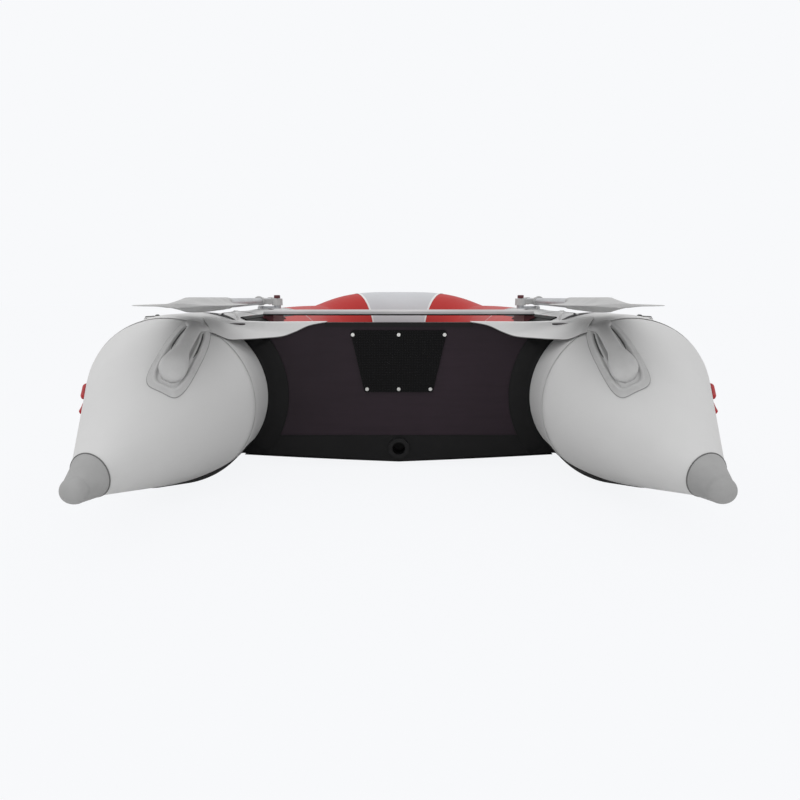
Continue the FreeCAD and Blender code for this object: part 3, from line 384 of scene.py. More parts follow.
def sheet(name, points, uvs, material, thickness, body="hull", normal_of=None):
    """Closed thin sheet from a grid of points, thickened along each point's own normal."""
    rows = len(points)
    columns = len(points[0])
    top = [p for row in points for p in row]
    normals = [n for row in normal_of for n in row]
    under = [p - n * thickness for p, n in zip(top, normals)]
    count = rows * columns
    faces = grid_faces(rows, columns, False)
    faces += [tuple(count + v for v in reversed(f)) for f in grid_faces(rows, columns, False)]
    rim = [i for i in range(columns)]
    rim += [i * columns + columns - 1 for i in range(1, rows)]
    rim += [(rows - 1) * columns + i for i in range(columns - 2, -1, -1)]
    rim += [i * columns for i in range(rows - 2, 0, -1)]
    for a, b in zip(rim, rim[1:] + rim[:1]):
        faces.append((b, a, count + a, count + b))
    flat = [uv for row in uvs for uv in row]
    obj = new_piece(name, top + under, faces, material, flat + flat, body)
    outward(obj)
    obj.data.set_sharp_from_angle(angle=math.radians(50))
    return obj


# ---- the tubes ----


def rise(y):
    """How far the tube's axis has climbed at y."""
    t = min(max((y - STEM_Y + RISE_RUN) / RISE_RUN, 0.0), 1.0)
    return RISE * t * t * (3 - 2 * t)


def tube_frame(s, side=1):
    """Point, outboard and up directions on the tube's axis; s is metres forward of the
    cone seam, round the bow after the straight run."""
    straight = ARC_Y - CONE_Y
    if s <= straight:
        y = CONE_Y + s
        point = Vector((TUBE_X, y, AXIS_Z + rise(y)))
        slope = (rise(y + 0.001) - rise(y - 0.001)) / 0.002
        tangent = Vector((0, 1, slope))
        out = Vector((1, 0, 0))
    else:
        a = (s - straight) / TUBE_X
        y = ARC_Y + TUBE_X * math.sin(a)
        point = Vector((TUBE_X * math.cos(a), y, AXIS_Z + rise(y)))
        slope = (rise(y + 0.001) - rise(y - 0.001)) / 0.002 * math.cos(a)
        tangent = Vector((-math.sin(a), math.cos(a), slope))
        out = Vector((math.cos(a), math.sin(a), 0))
    tangent.normalize()
    up = out.cross(tangent)
    if side < 0:
        point.x, out.x, up.x = -point.x, -out.x, -up.x
    return point, out, up


def seam_s(angle=SEAM_ANGLE):
    return ARC_Y - CONE_Y + math.radians(angle) * TUBE_X


STRAIGHT_END = BOW_Y - CONE_Y
PANEL_SEAMS = (0.0, 0.62, STRAIGHT_END, seam_s())


def pucker(s, angle, side):
    """Small swelling of the skin: drawn in at the panel seams, with faint wrinkles there."""
    depth = 0.0
    for seam in PANEL_SEAMS:
        gap = abs(s - seam)
        near = math.exp(-((gap / 0.020) ** 2))
        ripple = noise.noise(Vector((angle * 9.0 + seam * 7, side * 3.1, s * 14.0)))
        depth -= 0.0007 * near
        depth += 0.0005 * ripple * math.exp(-((gap / 0.06) ** 2))
    broad = noise.noise(Vector((math.cos(angle) * 1.3, math.sin(angle) * 1.3 + side * 5, s * 2.2)))
    return depth + 0.0006 * broad - 0.0004


def top_swell(s, angle):
    """Fullness of the tube's top under the corner flap, angle in radians from straight up."""
    turn = math.atan2(math.sin(angle), math.cos(angle))
    along = min(max((s - 0.004) / 0.045, 0.0), 1.0) * math.exp(-((max(s - 0.25, 0.0) / 0.07) ** 2))
    return 0.0075 * along * along * (3 - 2 * along) * math.exp(-((turn - 0.10) / 0.62) ** 2)


def stations(start, end, step):
    """Positions along a panel, closer together near its seams."""
    count = max(8, int((end - start) / step))
    values = set()
    for i in range(count + 1):
        values.add(round(start + (end - start) * i / count, 5))
    for seam in PANEL_SEAMS:
        for offset in (-0.03, -0.02, -0.012, -0.006, 0.0, 0.006, 0.012, 0.02, 0.03):
            if start <= seam + offset <= end:
                values.add(round(seam + offset, 5))
    return sorted(values)


AROUND = 144


def lathe(name, rings, material, node, uvs):
    """Closed skin through rings of points, with a flat fan at each end."""
    verts = [p for ring in rings for p in ring]
    faces = grid_faces(len(rings), AROUND, True)
    flat = [uv for ring in uvs for uv in ring]
    for index in (0, len(rings) - 1):
        centre = sum(rings[index], Vector()) / AROUND
        first = index * AROUND
        verts.append(centre)
        flat.append((0.0, 0.0))
        for j in range(AROUND):
            faces.append((len(verts) - 1, first + j, first + (j + 1) % AROUND))
    obj = new_piece(name, verts, faces, material, flat)
    outward(obj)
    obj.data.set_sharp_from_angle(angle=math.radians(50))
    if node:
        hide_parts(node)
    return obj


def tube_skin(name, start, end, side, material, node, step=0.02):
    rings, uvs = [], []
    for s in stations(start, end, step):
        point, out, up = tube_frame(s, side)
        ring, row = [], []
        for j in range(AROUND):
            a = 2 * math.pi * j / AROUND
            r = TUBE_R + pucker(s, a, side) + top_swell(s, a)
            ring.append(point + out * (r * math.sin(a)) + up * (r * math.cos(a)))
            row.append((a * TUBE_R, s))
        rings.append(ring)
        uvs.append(row)
    return lathe(name, rings, material, node, uvs)


def cone_section(t):
    """Centre height and radius down the cone, t from 0 at the seam to 1 at the cap."""
    ease = 0.05
    t = max(t, 0.0)
    if t > 1:
        beyond = (t - 1) * CONE_LENGTH / CAP_RUN
        z = CONE_END_Z + (CAP_TIP_Z - CONE_END_Z) * beyond
        return z, CONE_END_R + (CAP_TIP_R - CONE_END_R) * beyond
    drop = t * t / (2 * ease) if t < ease else t - ease / 2
    drop /= 1 - ease / 2
    z = AXIS_Z + (CONE_END_Z - AXIS_Z) * drop
    return z, TUBE_R + (CONE_END_R - TUBE_R) * drop


def cone_point(t, angle, side, lift=0.0):
    """Point on the cone, angle from straight up and positive outboard."""
    z, r = cone_section(t)
    y = CONE_Y + (CONE_END_Y - CONE_Y) * t
    r += lift
    return Vector((side * (TUBE_X + r * math.sin(angle)), y, z + r * math.cos(angle)))


def skewed(t, angle):
    """Station on the cone or cap, slid so that the cap's seam sits askew, aft on the inboard side."""
    if t < 1:
        near = min(max((t - 0.8) / 0.2, 0.0), 1.0)
    else:
        near = min(max((TIP_T - t) / (TIP_T - 1), 0.0), 1.0)
    return t - CAP_SKEW * math.sin(angle) * near


def cone_skin(side_name, side):
    rings, uvs = [], []
    count = 46
    for i in range(count + 1):
        ring, row = [], []
        for j in range(AROUND):
            a = 2 * math.pi * j / AROUND
            t = skewed(i / count, a)
            s = -t * (CONE_Y - CONE_END_Y)
            lift = pucker(s, a, side) * min(1.0, (1 - i / count) / 0.02)
            ring.append(cone_point(t, a, side, lift))
            row.append((a * 0.13, s))
        rings.append(ring)
        uvs.append(row)
    name = "aft_cone_skin_" + side_name
    return lathe(name, rings, SKIN_GREY, "aft_cone_" + side_name, uvs)


def cap_skin(side_name, side):
    """Moulded cap: a skirt lapped over the cone's end and a round nose."""
    rings, uvs = [], []
    for t, lift in [(0.995, -0.004), (0.995, 0.0003), (1.001, 0.0011)] + [
            (1 + (TIP_T - 1) * i / 12, 0.0011) for i in range(1, 13)]:
        ring, row = [], []
        for j in range(AROUND):
            a = 2 * math.pi * j / AROUND
            ring.append(cone_point(skewed(t, a), a, side, lift))
            row.append((a * 0.04, t))
        rings.append(ring)
        uvs.append(row)
    nose = CAP_TIP_R + 0.0011
    tip_y = CONE_Y - CONE_LENGTH * TIP_T
    for i in range(1, 22):
        turn = math.radians(90 * i / 22)
        y, r = tip_y - nose * math.sin(turn), nose * math.cos(turn)
        ring, row = [], []
        for j in range(AROUND):
            a = 2 * math.pi * j / AROUND
            ring.append(Vector((side * (TUBE_X + r * math.sin(a)), y, CAP_TIP_Z + r * math.cos(a))))
            row.append((a * 0.04, TIP_T + turn * 0.06))
        rings.append(ring)
        uvs.append(row)
    node = "cone_caps" if side > 0 else None
    lathe("cone_cap_skin_" + side_name, rings, CAP_GREY, node, uvs)


def tube_point(s, degrees, side, lift=0.0):
    """Point on the tube's skin and its normal, angle from straight up, positive outboard."""
    point, out, up = tube_frame(s, side)
    a = math.radians(degrees)
    normal = out * math.sin(a) + up * math.cos(a)
    return point + normal * (TUBE_R + lift + top_swell(s, a)), normal


def band(name, s0, s1, a0, a1, side, material, lift, rows=4, columns=80, thickness=0.0008):
    """Strip glued on the tube between two stations and two angles."""
    points, normals, uvs = [], [], []
    for i in range(rows):
        s = s0 + (s1 - s0) * i / (rows - 1)
        line, norm, row = [], [], []
        for j in range(columns):
            a = a0 + (a1 - a0) * j / (columns - 1)
            p, n = tube_point(s, a, side, lift)
            line.append(p)
            norm.append(n)
            row.append((math.radians(a) * TUBE_R, s))
        points.append(line)
        normals.append(norm)
        uvs.append(row)
    return sheet(name, points, uvs, material, thickness, normal_of=normals)


def cap_bead(name, side):
    """Dark bead of glue round the cap's rim."""
    path = []
    for i in range(97):
        a = 2 * math.pi * i / 96
        path.append(cone_point(skewed(0.993, a), a, side, 0.0007))
    cord("cap_bead_" + name, path, 0.0012, BEAD, strands=0)


def cone_lap(name, side):
    """Tail of the black bottom cloth, lapped up under the cone."""
    rows, columns = 24, 20
    points, normals, uvs = [], [], []
    for i in range(rows):
        v = i / (rows - 1)
        t = 0.002 + 0.40 * v
        start = 132 + 40 * v
        line, norm, row = [], [], []
        for j in range(columns):
            a = math.radians(-(start + (182 - start) * j / (columns - 1)))
            p = cone_point(t, a, side, 0.0011)
            line.append(p)
            norm.append((p - cone_point(t, a, side, -0.1)).normalized())
            row.append((a * TUBE_R, t * CONE_LENGTH))
        points.append(line)
        normals.append(norm)
        uvs.append(row)
    sheet("bottom_lap_aft_" + name, points, uvs, SKIN_BLACK, 0.0014, normal_of=normals)


def strake_tails(name, side):
    """The three ridges of the rub strake, run out along the cone."""
    for k, (fore, aft, end) in enumerate(((78, 74, 0.095), (90, 83, 0.115), (102, 91, 0.135))):
        path = []
        for i in range(31):
            s = 0.015 - (0.015 + end) * i / 30
            degrees = fore + (aft - fore) * (i / 30) ** 2
            fade = min(1.0, (30 - i) / 3)
            a = math.radians(degrees)
            if s >= 0:
                path.append(tube_point(s, degrees, side, 0.0026)[0])
            else:
                path.append(cone_point(-s / CONE_LENGTH, a, side, 0.0026 * fade))
        cord("strake_tail_%d_%s" % (k, name), path, 0.0048, STRAKE_RED, strands=0)


def build_tubes():
    end = seam_s()
    for name, side in SIDES:
        tube_skin("side_tube_skin_" + name, 0.0, STRAIGHT_END, side, SKIN_GREY, "side_tube_" + name)
        tube_skin("bow_skin_" + name, STRAIGHT_END, end, side, SKIN_RED, "bow_tube_" + name)
        cone_skin(name, side)
        cap_skin(name, side)
        tape = band("seam_tape_aft_" + name, -0.002, 0.024, -172, 172, side, TAPE_GREY, 0.0009)
        if side > 0:
            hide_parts("seam_bands")
        band("seam_tape_mid_" + name, 0.607, 0.633, -172, 172, side, TAPE_GREY, 0.0009)
        band("seam_tape_bow_" + name, STRAIGHT_END - 0.013, STRAIGHT_END + 0.013,
             -172, 172, side, TAPE_GREY, 0.0009)
        band("seam_tape_stem_" + name, end - 0.007, end + 0.007, -178, 178, side, TAPE_PALE, 0.0009)
        band("bottom_lap_" + name, 0.012, STRAIGHT_END, -176, -127, side, SKIN_BLACK, 0.0012,
             rows=40, columns=24, thickness=0.0014)
        cap_bead(name, side)
        cone_lap(name, side)
        strake_tails(name, side)
    tube_skin("bow_skin_centre", end, 2 * seam_s(90) - end, 1, SKIN_BOW, "bow_tube_centre")


# ---- transom corner flaps and their graphics ----


FLAP_EDGE = (
    (0.4560, -0.157, 0.3883), (0.4463, -0.150, 0.3846), (0.4205, -0.125, 0.3696),
    (0.3942, -0.095, 0.3673), (0.3577, -0.050, 0.3668), (0.3127, -0.015, 0.3692),
    (0.2787, -0.0085, 0.3803), (0.2400, -0.0085, 0.3971), (0.1987, -0.0085, 0.4053),
)
FLAP_TOP_Z = BOARD_TOP + 0.0042


def flap_lines(side):
    """Top, bend and lower edge of the flap, from its aft corner on the tube to the board."""

    def on_tube(y, degrees, lift=0.0026):
        s = TRANSOM_Y + y - CONE_Y
        if s < 0:
            return cone_point(-s / CONE_LENGTH, -math.radians(degrees), side, lift)
        return tube_point(s, -degrees, side, lift)[0]

    def at(x, y, z):
        return Vector((side * x, TRANSOM_Y + y, z))

    tops = [on_tube(-0.150, 31), on_tube(-0.137, 30), on_tube(-0.102, 24), on_tube(-0.055, 17),
            on_tube(-0.010, 16), on_tube(0.022, 22), at(0.375, 0.026, FLAP_TOP_Z),
            at(0.285, 0.026, FLAP_TOP_Z), at(0.196, 0.026, FLAP_TOP_Z + 0.0006)]
    bends = [on_tube(-0.153, 32), on_tube(-0.145, 32), on_tube(-0.112, 30), on_tube(-0.070, 22),
             on_tube(-0.025, 20), on_tube(0.004, 25), at(0.345, -0.0085, FLAP_TOP_Z - 0.001),
             at(0.265, -0.0085, FLAP_TOP_Z - 0.0005), at(0.1975, -0.0085, FLAP_TOP_Z)]
    return tops, bends, [at(*v) for v in FLAP_EDGE]


def clear_of_tube(p, side, lift=0.0026):
    """Pushes a point of the flap out to the tube's skin where it would sink in."""
    s = p.y - CONE_Y
    z, radius = (AXIS_Z, TUBE_R) if s >= 0 else cone_section(-s / CONE_LENGTH)
    across, high = side * p.x - TUBE_X, p.z - z
    if s >= 0:
        radius += top_swell(s, math.atan2(across, high))
    reach = math.hypot(across, high)
    if reach >= radius + lift:
        return p
    grow = (radius + lift) / reach
    return Vector((side * (TUBE_X + across * grow), p.y, z + high * grow))


def spline(values, u):
    """Catmull-Rom through a list of vectors, u from 0 to 1."""
    spot = min(u, 0.99999) * (len(values) - 1)
    i = int(spot)
    t = spot - i
    p0 = values[max(i - 1, 0)]
    p1, p2 = values[i], values[i + 1]
    p3 = values[min(i + 2, len(values) - 1)]
    a = (p1 * 2) + (p2 - p0) * t + (p0 * 2 - p1 * 5 + p2 * 4 - p3) * (t * t)
    return (a + (p1 * 3 - p0 - p2 * 3 + p3) * (t ** 3)) * 0.5


def flap(name, side):
    """Sheet from the tube's top, over its shoulder and taut to the transom's top edge."""
    tops, bends, lows = flap_lines(side)
    rows, columns = 25, 90
    points = [[None] * columns for _ in range(rows)]
    for j in range(columns):
        u = j / (columns - 1)
        top, bend, low = spline(tops, u), spline(bends, u), spline(lows, u)
        for i in range(rows):
            v = 2 * i / (rows - 1)
            p = top.lerp(bend, v) if v < 1 else bend.lerp(low, v - 1)
            points[i][j] = clear_of_tube(p, side)
    normals = []
    for i in range(rows):
        row = []
        for j in range(columns):
            du = points[i][min(j + 1, columns - 1)] - points[i][max(j - 1, 0)]
            dv = points[min(i + 1, rows - 1)][j] - points[max(i - 1, 0)][j]
            n = du.cross(dv) * side
            n.normalize()
            row.append(n if n.z - n.y > 0 else -n)
        normals.append(row)
    uvs = [[(j * 0.004, i * 0.005) for j in range(columns)] for i in range(rows)]
    edge = [p - n * 0.0008 for p, n in zip(points[-1], normals[-1])]
    cord("flap_edge_" + name, edge, 0.0011, BEAD, strands=0)
    return sheet("corner_flap_" + name, points, uvs, FLAP_GREY, SKIN, normal_of=normals)


def patch_outline(name, corners, side, material, lift, thickness=0.0004):
    """Four-sided graphic on the tube; corners are (distance from transom, degrees inboard)."""
    rows, columns = 8, 40
    points, normals, uvs = [], [], []
    for i in range(rows):
        v = i / (rows - 1)
        line, norm, row = [], [], []
        for j in range(columns):
            u = j / (columns - 1)
            y = ((corners[0][0] * (1 - u) + corners[1][0] * u) * (1 - v)
                 + (corners[3][0] * (1 - u) + corners[2][0] * u) * v)
            a = ((corners[0][1] * (1 - u) + corners[1][1] * u) * (1 - v)
                 + (corners[3][1] * (1 - u) + corners[2][1] * u) * v)
            p, n = tube_point(TRANSOM_Y + y - CONE_Y, -a, side, lift)
            line.append(p)
            norm.append(n)
            row.append((math.radians(a) * TUBE_R, y))
        points.append(line)
        normals.append(norm)
        uvs.append(row)
    return sheet(name, points, uvs, material, thickness, normal_of=normals)


def build_graphics(name, side):
    """Plain wedge and stripe panels, generic stand-ins for the boat's own graphics."""
    low, high = 0.0012, 0.0016
    end = BOW_Y - TRANSOM_Y
    patch_outline("accent_wedge_" + name,
                  ((0.080, 3), (0.150, 13), (0.125, 26), (0.092, 14)), side, DECAL_DARK, high)
    patch_outline("accent_chevron_" + name,
                  ((0.275, 20), (0.34, 20), (0.30, 31), (0.225, 31)), side, DECAL_RED, high)
    patch_outline("accent_stripe_" + name,
                  ((0.36, 19), (end, 28), (end, 50), (0.33, 33)), side, DECAL_RED, low)
    patch_outline("accent_bar_" + name,
                  ((0.44, 24), (0.95, 27), (0.92, 31), (0.42, 29)), side, DECAL_DARK, high)


def build_flaps():
    for name, side in SIDES:
        obj = flap(name, side)
        if side > 0:
            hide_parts("corner_gussets")
        build_graphics(name, side)
        ring = flange_ring(name, side)
        if side > 0:
            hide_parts("transom_flanges")


def flange_ring(name, side):
    """Black rubber angle that joins the transom's face to the tube's flank."""
    rings = []
    inner = TUBE_R + 0.0014
    floor_z = AXIS_Z - 0.171
    steps = 72
    for i in range(steps + 1):
        degrees = 44 + 104 * i / steps
        a = math.radians(degrees)
        outer = 0.2655
        if math.cos(a) > 0:
            outer = min(outer, 0.150 / math.cos(a))
        else:
            outer = min(outer, (AXIS_Z - floor_z) / -math.cos(a))
        outer = max(outer, inner + 0.002)
        ring = []
        width = outer - inner
        for part, y in ((1.0, 0.0008), (1.0, -0.0026), (0.97, -0.0036), (0.14, -0.0038),
                        (0.05, -0.0052), (0.0, -0.0095), (-0.004, -0.0105), (-0.012, -0.010),
                        (-0.012, 0.0008)):
            r = inner + (width * part if part > 0 else part)
            ring.append(Vector((side * (TUBE_X - r * math.sin(a)), TRANSOM_Y + y,
                                AXIS_Z + r * math.cos(a))))
        rings.append(ring)
    return loft("transom_flange_" + name, rings, BLACK_RUBBER)


# ---- stern handles ----

HANDLE_T = 0.2595
HANDLE_ANGLE = -26.9
HANDLE_TWIST = 0.135
HANDLE_HALF = (0.0455, 0.117)
SLANT = 0.400
BASE_PROFILE = (
    (0.0, 0.2), (0.3, 2.6), (2.0, 3.6), (7.5, 3.8), (9.0, 6.6), (11.0, 7.8), (14.0, 7.8),
    (16.0, 6.4), (17.5, 4.2), (20.0, 4.0), (21.5, 6.0), (23.5, 6.8), (26.0, 6.4), (28.5, 3.4),
    (32.0, 2.2), (40.0, 1.8),
)
GRIP_SECTIONS = (
    (-104, 14, 1.5, 1.5), (-98, 24, 3.0, 4.5), (-88, 27, 5.5, 7.0), (-77, 23, 9.5, 8.5),
    (-66, 16.5, 14.0, 9.5), (-46, 15, 18.5, 9.5), (-10, 15, 21, 9.5), (14, 16, 21.5, 10.0),
    (34, 22.5, 20.5, 12.0), (54, 27, 18.5, 13.0), (72, 25.5, 15.5, 12.5), (85, 17, 12, 10.0),
    (92, 7, 9, 5.0),
)
# Near-black rubber for the slot pieces beside the grip: painted shade, not the rubber's own colour.
SLOT_PAINTED_SHADE = moulded_rubber("slot_painted_shade", (0.085, 0.085, 0.085), 520.0)


def handle_point(u, v, height, side):
    """Point off the cone: u outboard across the handle, v aft down it, height off the skin."""

    def on_cone(along, across):
        t = HANDLE_T + along / SLANT
        _, r = cone_section(t)
        angle = math.radians(HANDLE_ANGLE) + across / r
        swell = top_swell(-t * CONE_LENGTH, angle) if t < 0 else 0.0
        return cone_point(t, angle, side, swell)

    u, v = (u * math.cos(HANDLE_TWIST) - v * math.sin(HANDLE_TWIST),
            u * math.sin(HANDLE_TWIST) + v * math.cos(HANDLE_TWIST))
    here = on_cone(v, u)
    across = on_cone(v, u + 0.002) - here
    along = on_cone(v + 0.002, u) - here
    normal = across.cross(along).normalized()
    if normal.z < 0:
        normal = -normal
    return here + normal * height


def handle_outline(a, inset):
    """Plan of the base at angle a, round at the top end and squarer at the lower end."""
    power = 2 / 2.2 if math.sin(a) < 0 else 2 / 4.0
    half_w, half_l = HANDLE_HALF[0] - inset, HANDLE_HALF[1] - inset
    u = half_w * math.copysign(abs(math.cos(a)) ** power, math.cos(a))
    v = half_l * math.copysign(abs(math.sin(a)) ** power, math.sin(a))
    return u, v


def handle_base(name, side):
    around = 128
    verts = []
    for inset, height in BASE_PROFILE:
        for j in range(around):
            u, v = handle_outline(2 * math.pi * j / around, inset / 1000)
            fade = min(max((v + 0.100) / 0.050, 0.0), 1.0)
            lift = 4.6 + (height - 4.6) * fade if 8 < inset < 30 else height
            lift += 1.6 * (1 - fade) * min(1.0, inset / 2.0)
            verts.append(handle_point(u, v, lift / 1000, side))
    faces = grid_faces(len(BASE_PROFILE), around, True)
    last = (len(BASE_PROFILE) - 1) * around
    verts.append(handle_point(0, 0, BASE_PROFILE[-1][1] / 1000, side))
    verts.append(handle_point(0, 0, 0.0002, side))
    for j in range(around):
        k = (j + 1) % around
        faces.append((len(verts) - 2, last + j, last + k))
        faces.append((len(verts) - 1, k, j))
    rim = []
    for j in range(around + 1):
        u, v = handle_outline(2 * math.pi * j / around, -0.0003)
        rim.append(handle_point(u, v, 0.0007, side))
    cord("stern_handle_glue_line_" + name, rim, 0.0009, GLUE, strands=0)
    base = new_piece("stern_handle_base_" + name, verts, faces, HANDLE_GREY)
    outward(base)
    base.data.set_sharp_from_angle(angle=math.radians(60))
    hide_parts("stern_handle_" + name)


def handle_grip(name, side):
    """Grip that rises from the base's round end and widens to a spoon at the lower end."""
    around, steps = 48, 90
    sections = [Vector(x) for x in GRIP_SECTIONS]
    verts = []
    for i in range(steps + 1):
        v, half_w, centre, half_h = spline(sections, i / steps)
        for j in range(around):
            a = 2 * math.pi * j / around
            u = half_w * math.copysign(abs(math.cos(a)) ** 0.85, math.cos(a))
            h = centre + half_h * math.sin(a)
            verts.append(handle_point(u / 1000, v / 1000, h / 1000, side))
    faces = grid_faces(steps + 1, around, True)
    faces.append(tuple(range(around)))
    faces.append(tuple(range(steps * around, (steps + 1) * around)))
    grip = new_piece("stern_handle_grip_" + name, verts, faces, HANDLE_GREY)
    outward(grip)


def handle_slots(name, side):
    """Dark pieces on the base beside the grip's upper end: painted shade for the shadowed openings
    there.
    """
    for tag, middle in (("outer", 0.0245), ("inner", -0.0245)):
        rings = []
        for i in range(25):
            t = -1 + 2 * i / 24
            half = 0.0060 * math.sqrt(max(1 - abs(t) ** 3.0, 0.02)) * (1.0 - 0.5 * t)
            v = -0.034 + 0.040 * t
            ring = []
            for u, h in ((-half, 0.0030), (-half, 0.0052), (half, 0.0052), (half, 0.0030)):
                ring.append(handle_point(middle + u, v, h, side))
            rings.append(ring)
        loft("stern_handle_slot_%s_%s" % (tag, name), rings, SLOT_PAINTED_SHADE)


def build_handles():
    for name, side in SIDES:
        handle_base(name, side)
        handle_grip(name, side)
        handle_slots(name, side)


# ---- oars, saddles, bench and bow handle ----


def strap(name, path, across, width, thickness, material, body="hull"):
    """Flat webbing along a path; across is the direction of its width."""
    rings = []
    for i, p in enumerate(path):
        ahead = path[min(i + 1, len(path) - 1)]
        behind = path[max(i - 1, 0)]
        normal = (ahead - behind).normalized().cross(across).normalized()
        ring = []
        for k in range(12):
            a = 2 * math.pi * k / 12
            w = math.copysign(abs(math.cos(a)) ** 0.35, math.cos(a)) * width / 2
            h = math.copysign(abs(math.sin(a)) ** 0.8, math.sin(a)) * thickness / 2
            ring.append(p + across * w + normal * h)
        rings.append(ring)
    return loft(name, rings, material, body)


LOCK = Vector((0.585, 0.850, 0.455))
OAR_TIP = Vector((0.430, -0.400, 0.455))
BLADE_LENGTH = 0.49


def blade_half_width(t):
    """Half width from the neck at 0 to the tip at 1."""
    grow = min(max((t - 0.05) / 0.55, 0.0), 1.0)
    width = 0.0185 + (0.103 - 0.0185) * grow * grow * (3 - 2 * grow)
    if t > 0.86:
        width *= math.sqrt(max(1 - ((t - 0.86) / 0.14) ** 2.6, 0.0025))
    return width


def blade_half_height(t, across):
    """Thin flange with a round spine down the middle that holds the shaft."""
    spine = 0.0150 - 0.012 * min(max((t - 0.74) / 0.2, 0.0), 1.0)
    fade = min(max((abs(across) - 0.013) / 0.034, 0.0), 1.0)
    return 0.0014 + spine * (1 - fade * fade * (3 - 2 * fade))


def oar_blade(name, side):
    lock = Vector((side * LOCK.x, TRANSOM_Y + LOCK.y, LOCK.z))
    tip = Vector((side * OAR_TIP.x, TRANSOM_Y + OAR_TIP.y, OAR_TIP.z))
    along = (tip - lock).normalized()
    across = Vector((0, 0, 1)).cross(along) * -side
    up = Vector((0, 0, 1))
    rings, uvs = [], []
    steps, around = 90, 80
    for i in range(steps + 1):
        t = i / steps
        centre = tip - along * (BLADE_LENGTH * (1 - t))
        half = blade_half_width(t)
        ring = []
        for k in range(around):
            a = 2 * math.pi * k / around
            w = half * math.cos(a)
            edge = abs(math.sin(a)) ** 0.45
            rib = 0.0004 * math.sin(w * 520) * min(1.0, abs(w) / 0.05)
            h = math.copysign((blade_half_height(t, w) + rib) * edge, math.sin(a))
            ring.append(centre + across * w + up * h)
            uvs.append((w, t * BLADE_LENGTH))
        rings.append(ring)
    blade = loft("oar_blade_moulding_" + name, rings, OAR_PLASTIC, "oar_" + name, uvs)
    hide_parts("oar_blade_" + name)


def oar_arch(name, side):
    """Clamp hoop over the oar's collar."""
    lock = Vector((side * LOCK.x, TRANSOM_Y + LOCK.y, LOCK.z))
    path = []
    for i in range(41):
        a = math.radians(-8 + 196 * i / 40)
        path.append(lock + Vector((0.0205 * math.cos(a), -0.030, 0.0205 * math.sin(a) - 0.002)))
    cord("oar_clamp_" + name, path, 0.0032, OAR_PLASTIC, "oar_" + name, strands=0)


def saddle(name, side):
    """Bent strap glued on the tube, on which the stowed shaft rests."""
    low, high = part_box("oar_saddles")
    y = (low.y + high.y) / 2
    x = high.x - 0.020

    def skin_z(at):
        return AXIS_Z + math.sqrt(0.2155 ** 2 - (TUBE_X - at) ** 2)

    corners = [(x + 0.030, skin_z(x + 0.030) + 0.001), (x + 0.021, skin_z(x + 0.021) + 0.002),
               (x + 0.016, 0.4265), (x, 0.4275), (x - 0.016, 0.4265), (x - 0.0225, 0.4200),
               (x - 0.0250, 0.4100),
               (x - 0.028, skin_z(x - 0.028) + 0.002), (x - 0.038, skin_z(x - 0.038) + 0.001)]
    nodes = [Vector((side * a, y, b)) for a, b in corners]
    path = [spline(nodes, i / 80) for i in range(81)]
    return strap("oar_saddle_" + name, path, Vector((0, 1, 0)), 0.022, 0.0022, PALE_RUBBER)


def bench():
    """Plank with rounded edges, with a black cord round its lower edge as painted shade along the
    shadowed underside.
    """
    low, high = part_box("bench_board")
    half_x, half_y = (high.x - low.x) / 2, (high.y - low.y) / 2
    mid = Vector(((high.x + low.x) / 2, (high.y + low.y) / 2, 0))
    bottom, top = low.z + 0.0003, high.z - 0.0042
    around = 160
    profile = ((0.0, bottom), (0.0, bottom + 0.003), (0.0, top - 0.005), (0.0015, top - 0.0018),
               (0.005, top), (0.060, top + 0.0004), (0.104, top + 0.0006))
    rings = []
    for inset, z in ((0.104, bottom), (0.006, bottom)) + profile:
        ring = []
        for k in range(around):
            a = 2 * math.pi * k / around
            x = (half_x - inset) * math.copysign(abs(math.cos(a)) ** (2 / 14), math.cos(a))
            y = (half_y - inset) * math.copysign(abs(math.sin(a)) ** (2 / 7), math.sin(a))
            ring.append(mid + Vector((x, y, z)))
        rings.append(ring)
    board = loft("bench_plank", rings, BENCH, "bench")
    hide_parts("bench_board")
    # Black cord round the plank's lower edge: painted shade under the plank.
    underside_shade = []
    for k in range(241):
        a = 2 * math.pi * k / 240
        x = half_x * math.copysign(abs(math.cos(a)) ** (2 / 14), math.cos(a))
        y = half_y * math.copysign(abs(math.sin(a)) ** (2 / 7), math.sin(a))
        underside_shade.append(mid + Vector((x, y, bottom + 0.0024)))
    cord("bench_edging", underside_shade, 0.0024, BLACK_RUBBER, "bench", strands=0)


def stem_point(x, degrees, lift):
    """Point on the bow's skin at a distance from the centre line."""
    reach = TUBE_X + TUBE_R * math.sin(math.radians(degrees))
    return tube_point(seam_s(math.degrees(math.acos(x / reach))), degrees, 1, lift)


def bow_patch(name, x, degrees, radius):
    """Round patch that follows the bow's skin, a little thicker towards its middle."""
    steps = 21
    points, normals, uvs = [], [], []
    for i in range(steps):
        v = -1 + 2 * i / (steps - 1)
        line, norm, row = [], [], []
        for j in range(steps):
            u = -1 + 2 * j / (steps - 1)
            du, dv = u * math.sqrt(1 - v * v / 2), v * math.sqrt(1 - u * u / 2)
            crown = 0.0018 * (1 - max(du * du + dv * dv - 0.3, 0.0))
            angle = degrees + math.degrees(dv * radius / TUBE_R)
            p, n = stem_point(x + du * radius, angle, 0.0024 + crown)
            line.append(p)
            norm.append(n)
            row.append((du * radius, dv * radius))
        points.append(line)
        normals.append(norm)
        uvs.append(row)
    return sheet(name, points, uvs, BLACK_RUBBER, 0.0022, normal_of=normals)


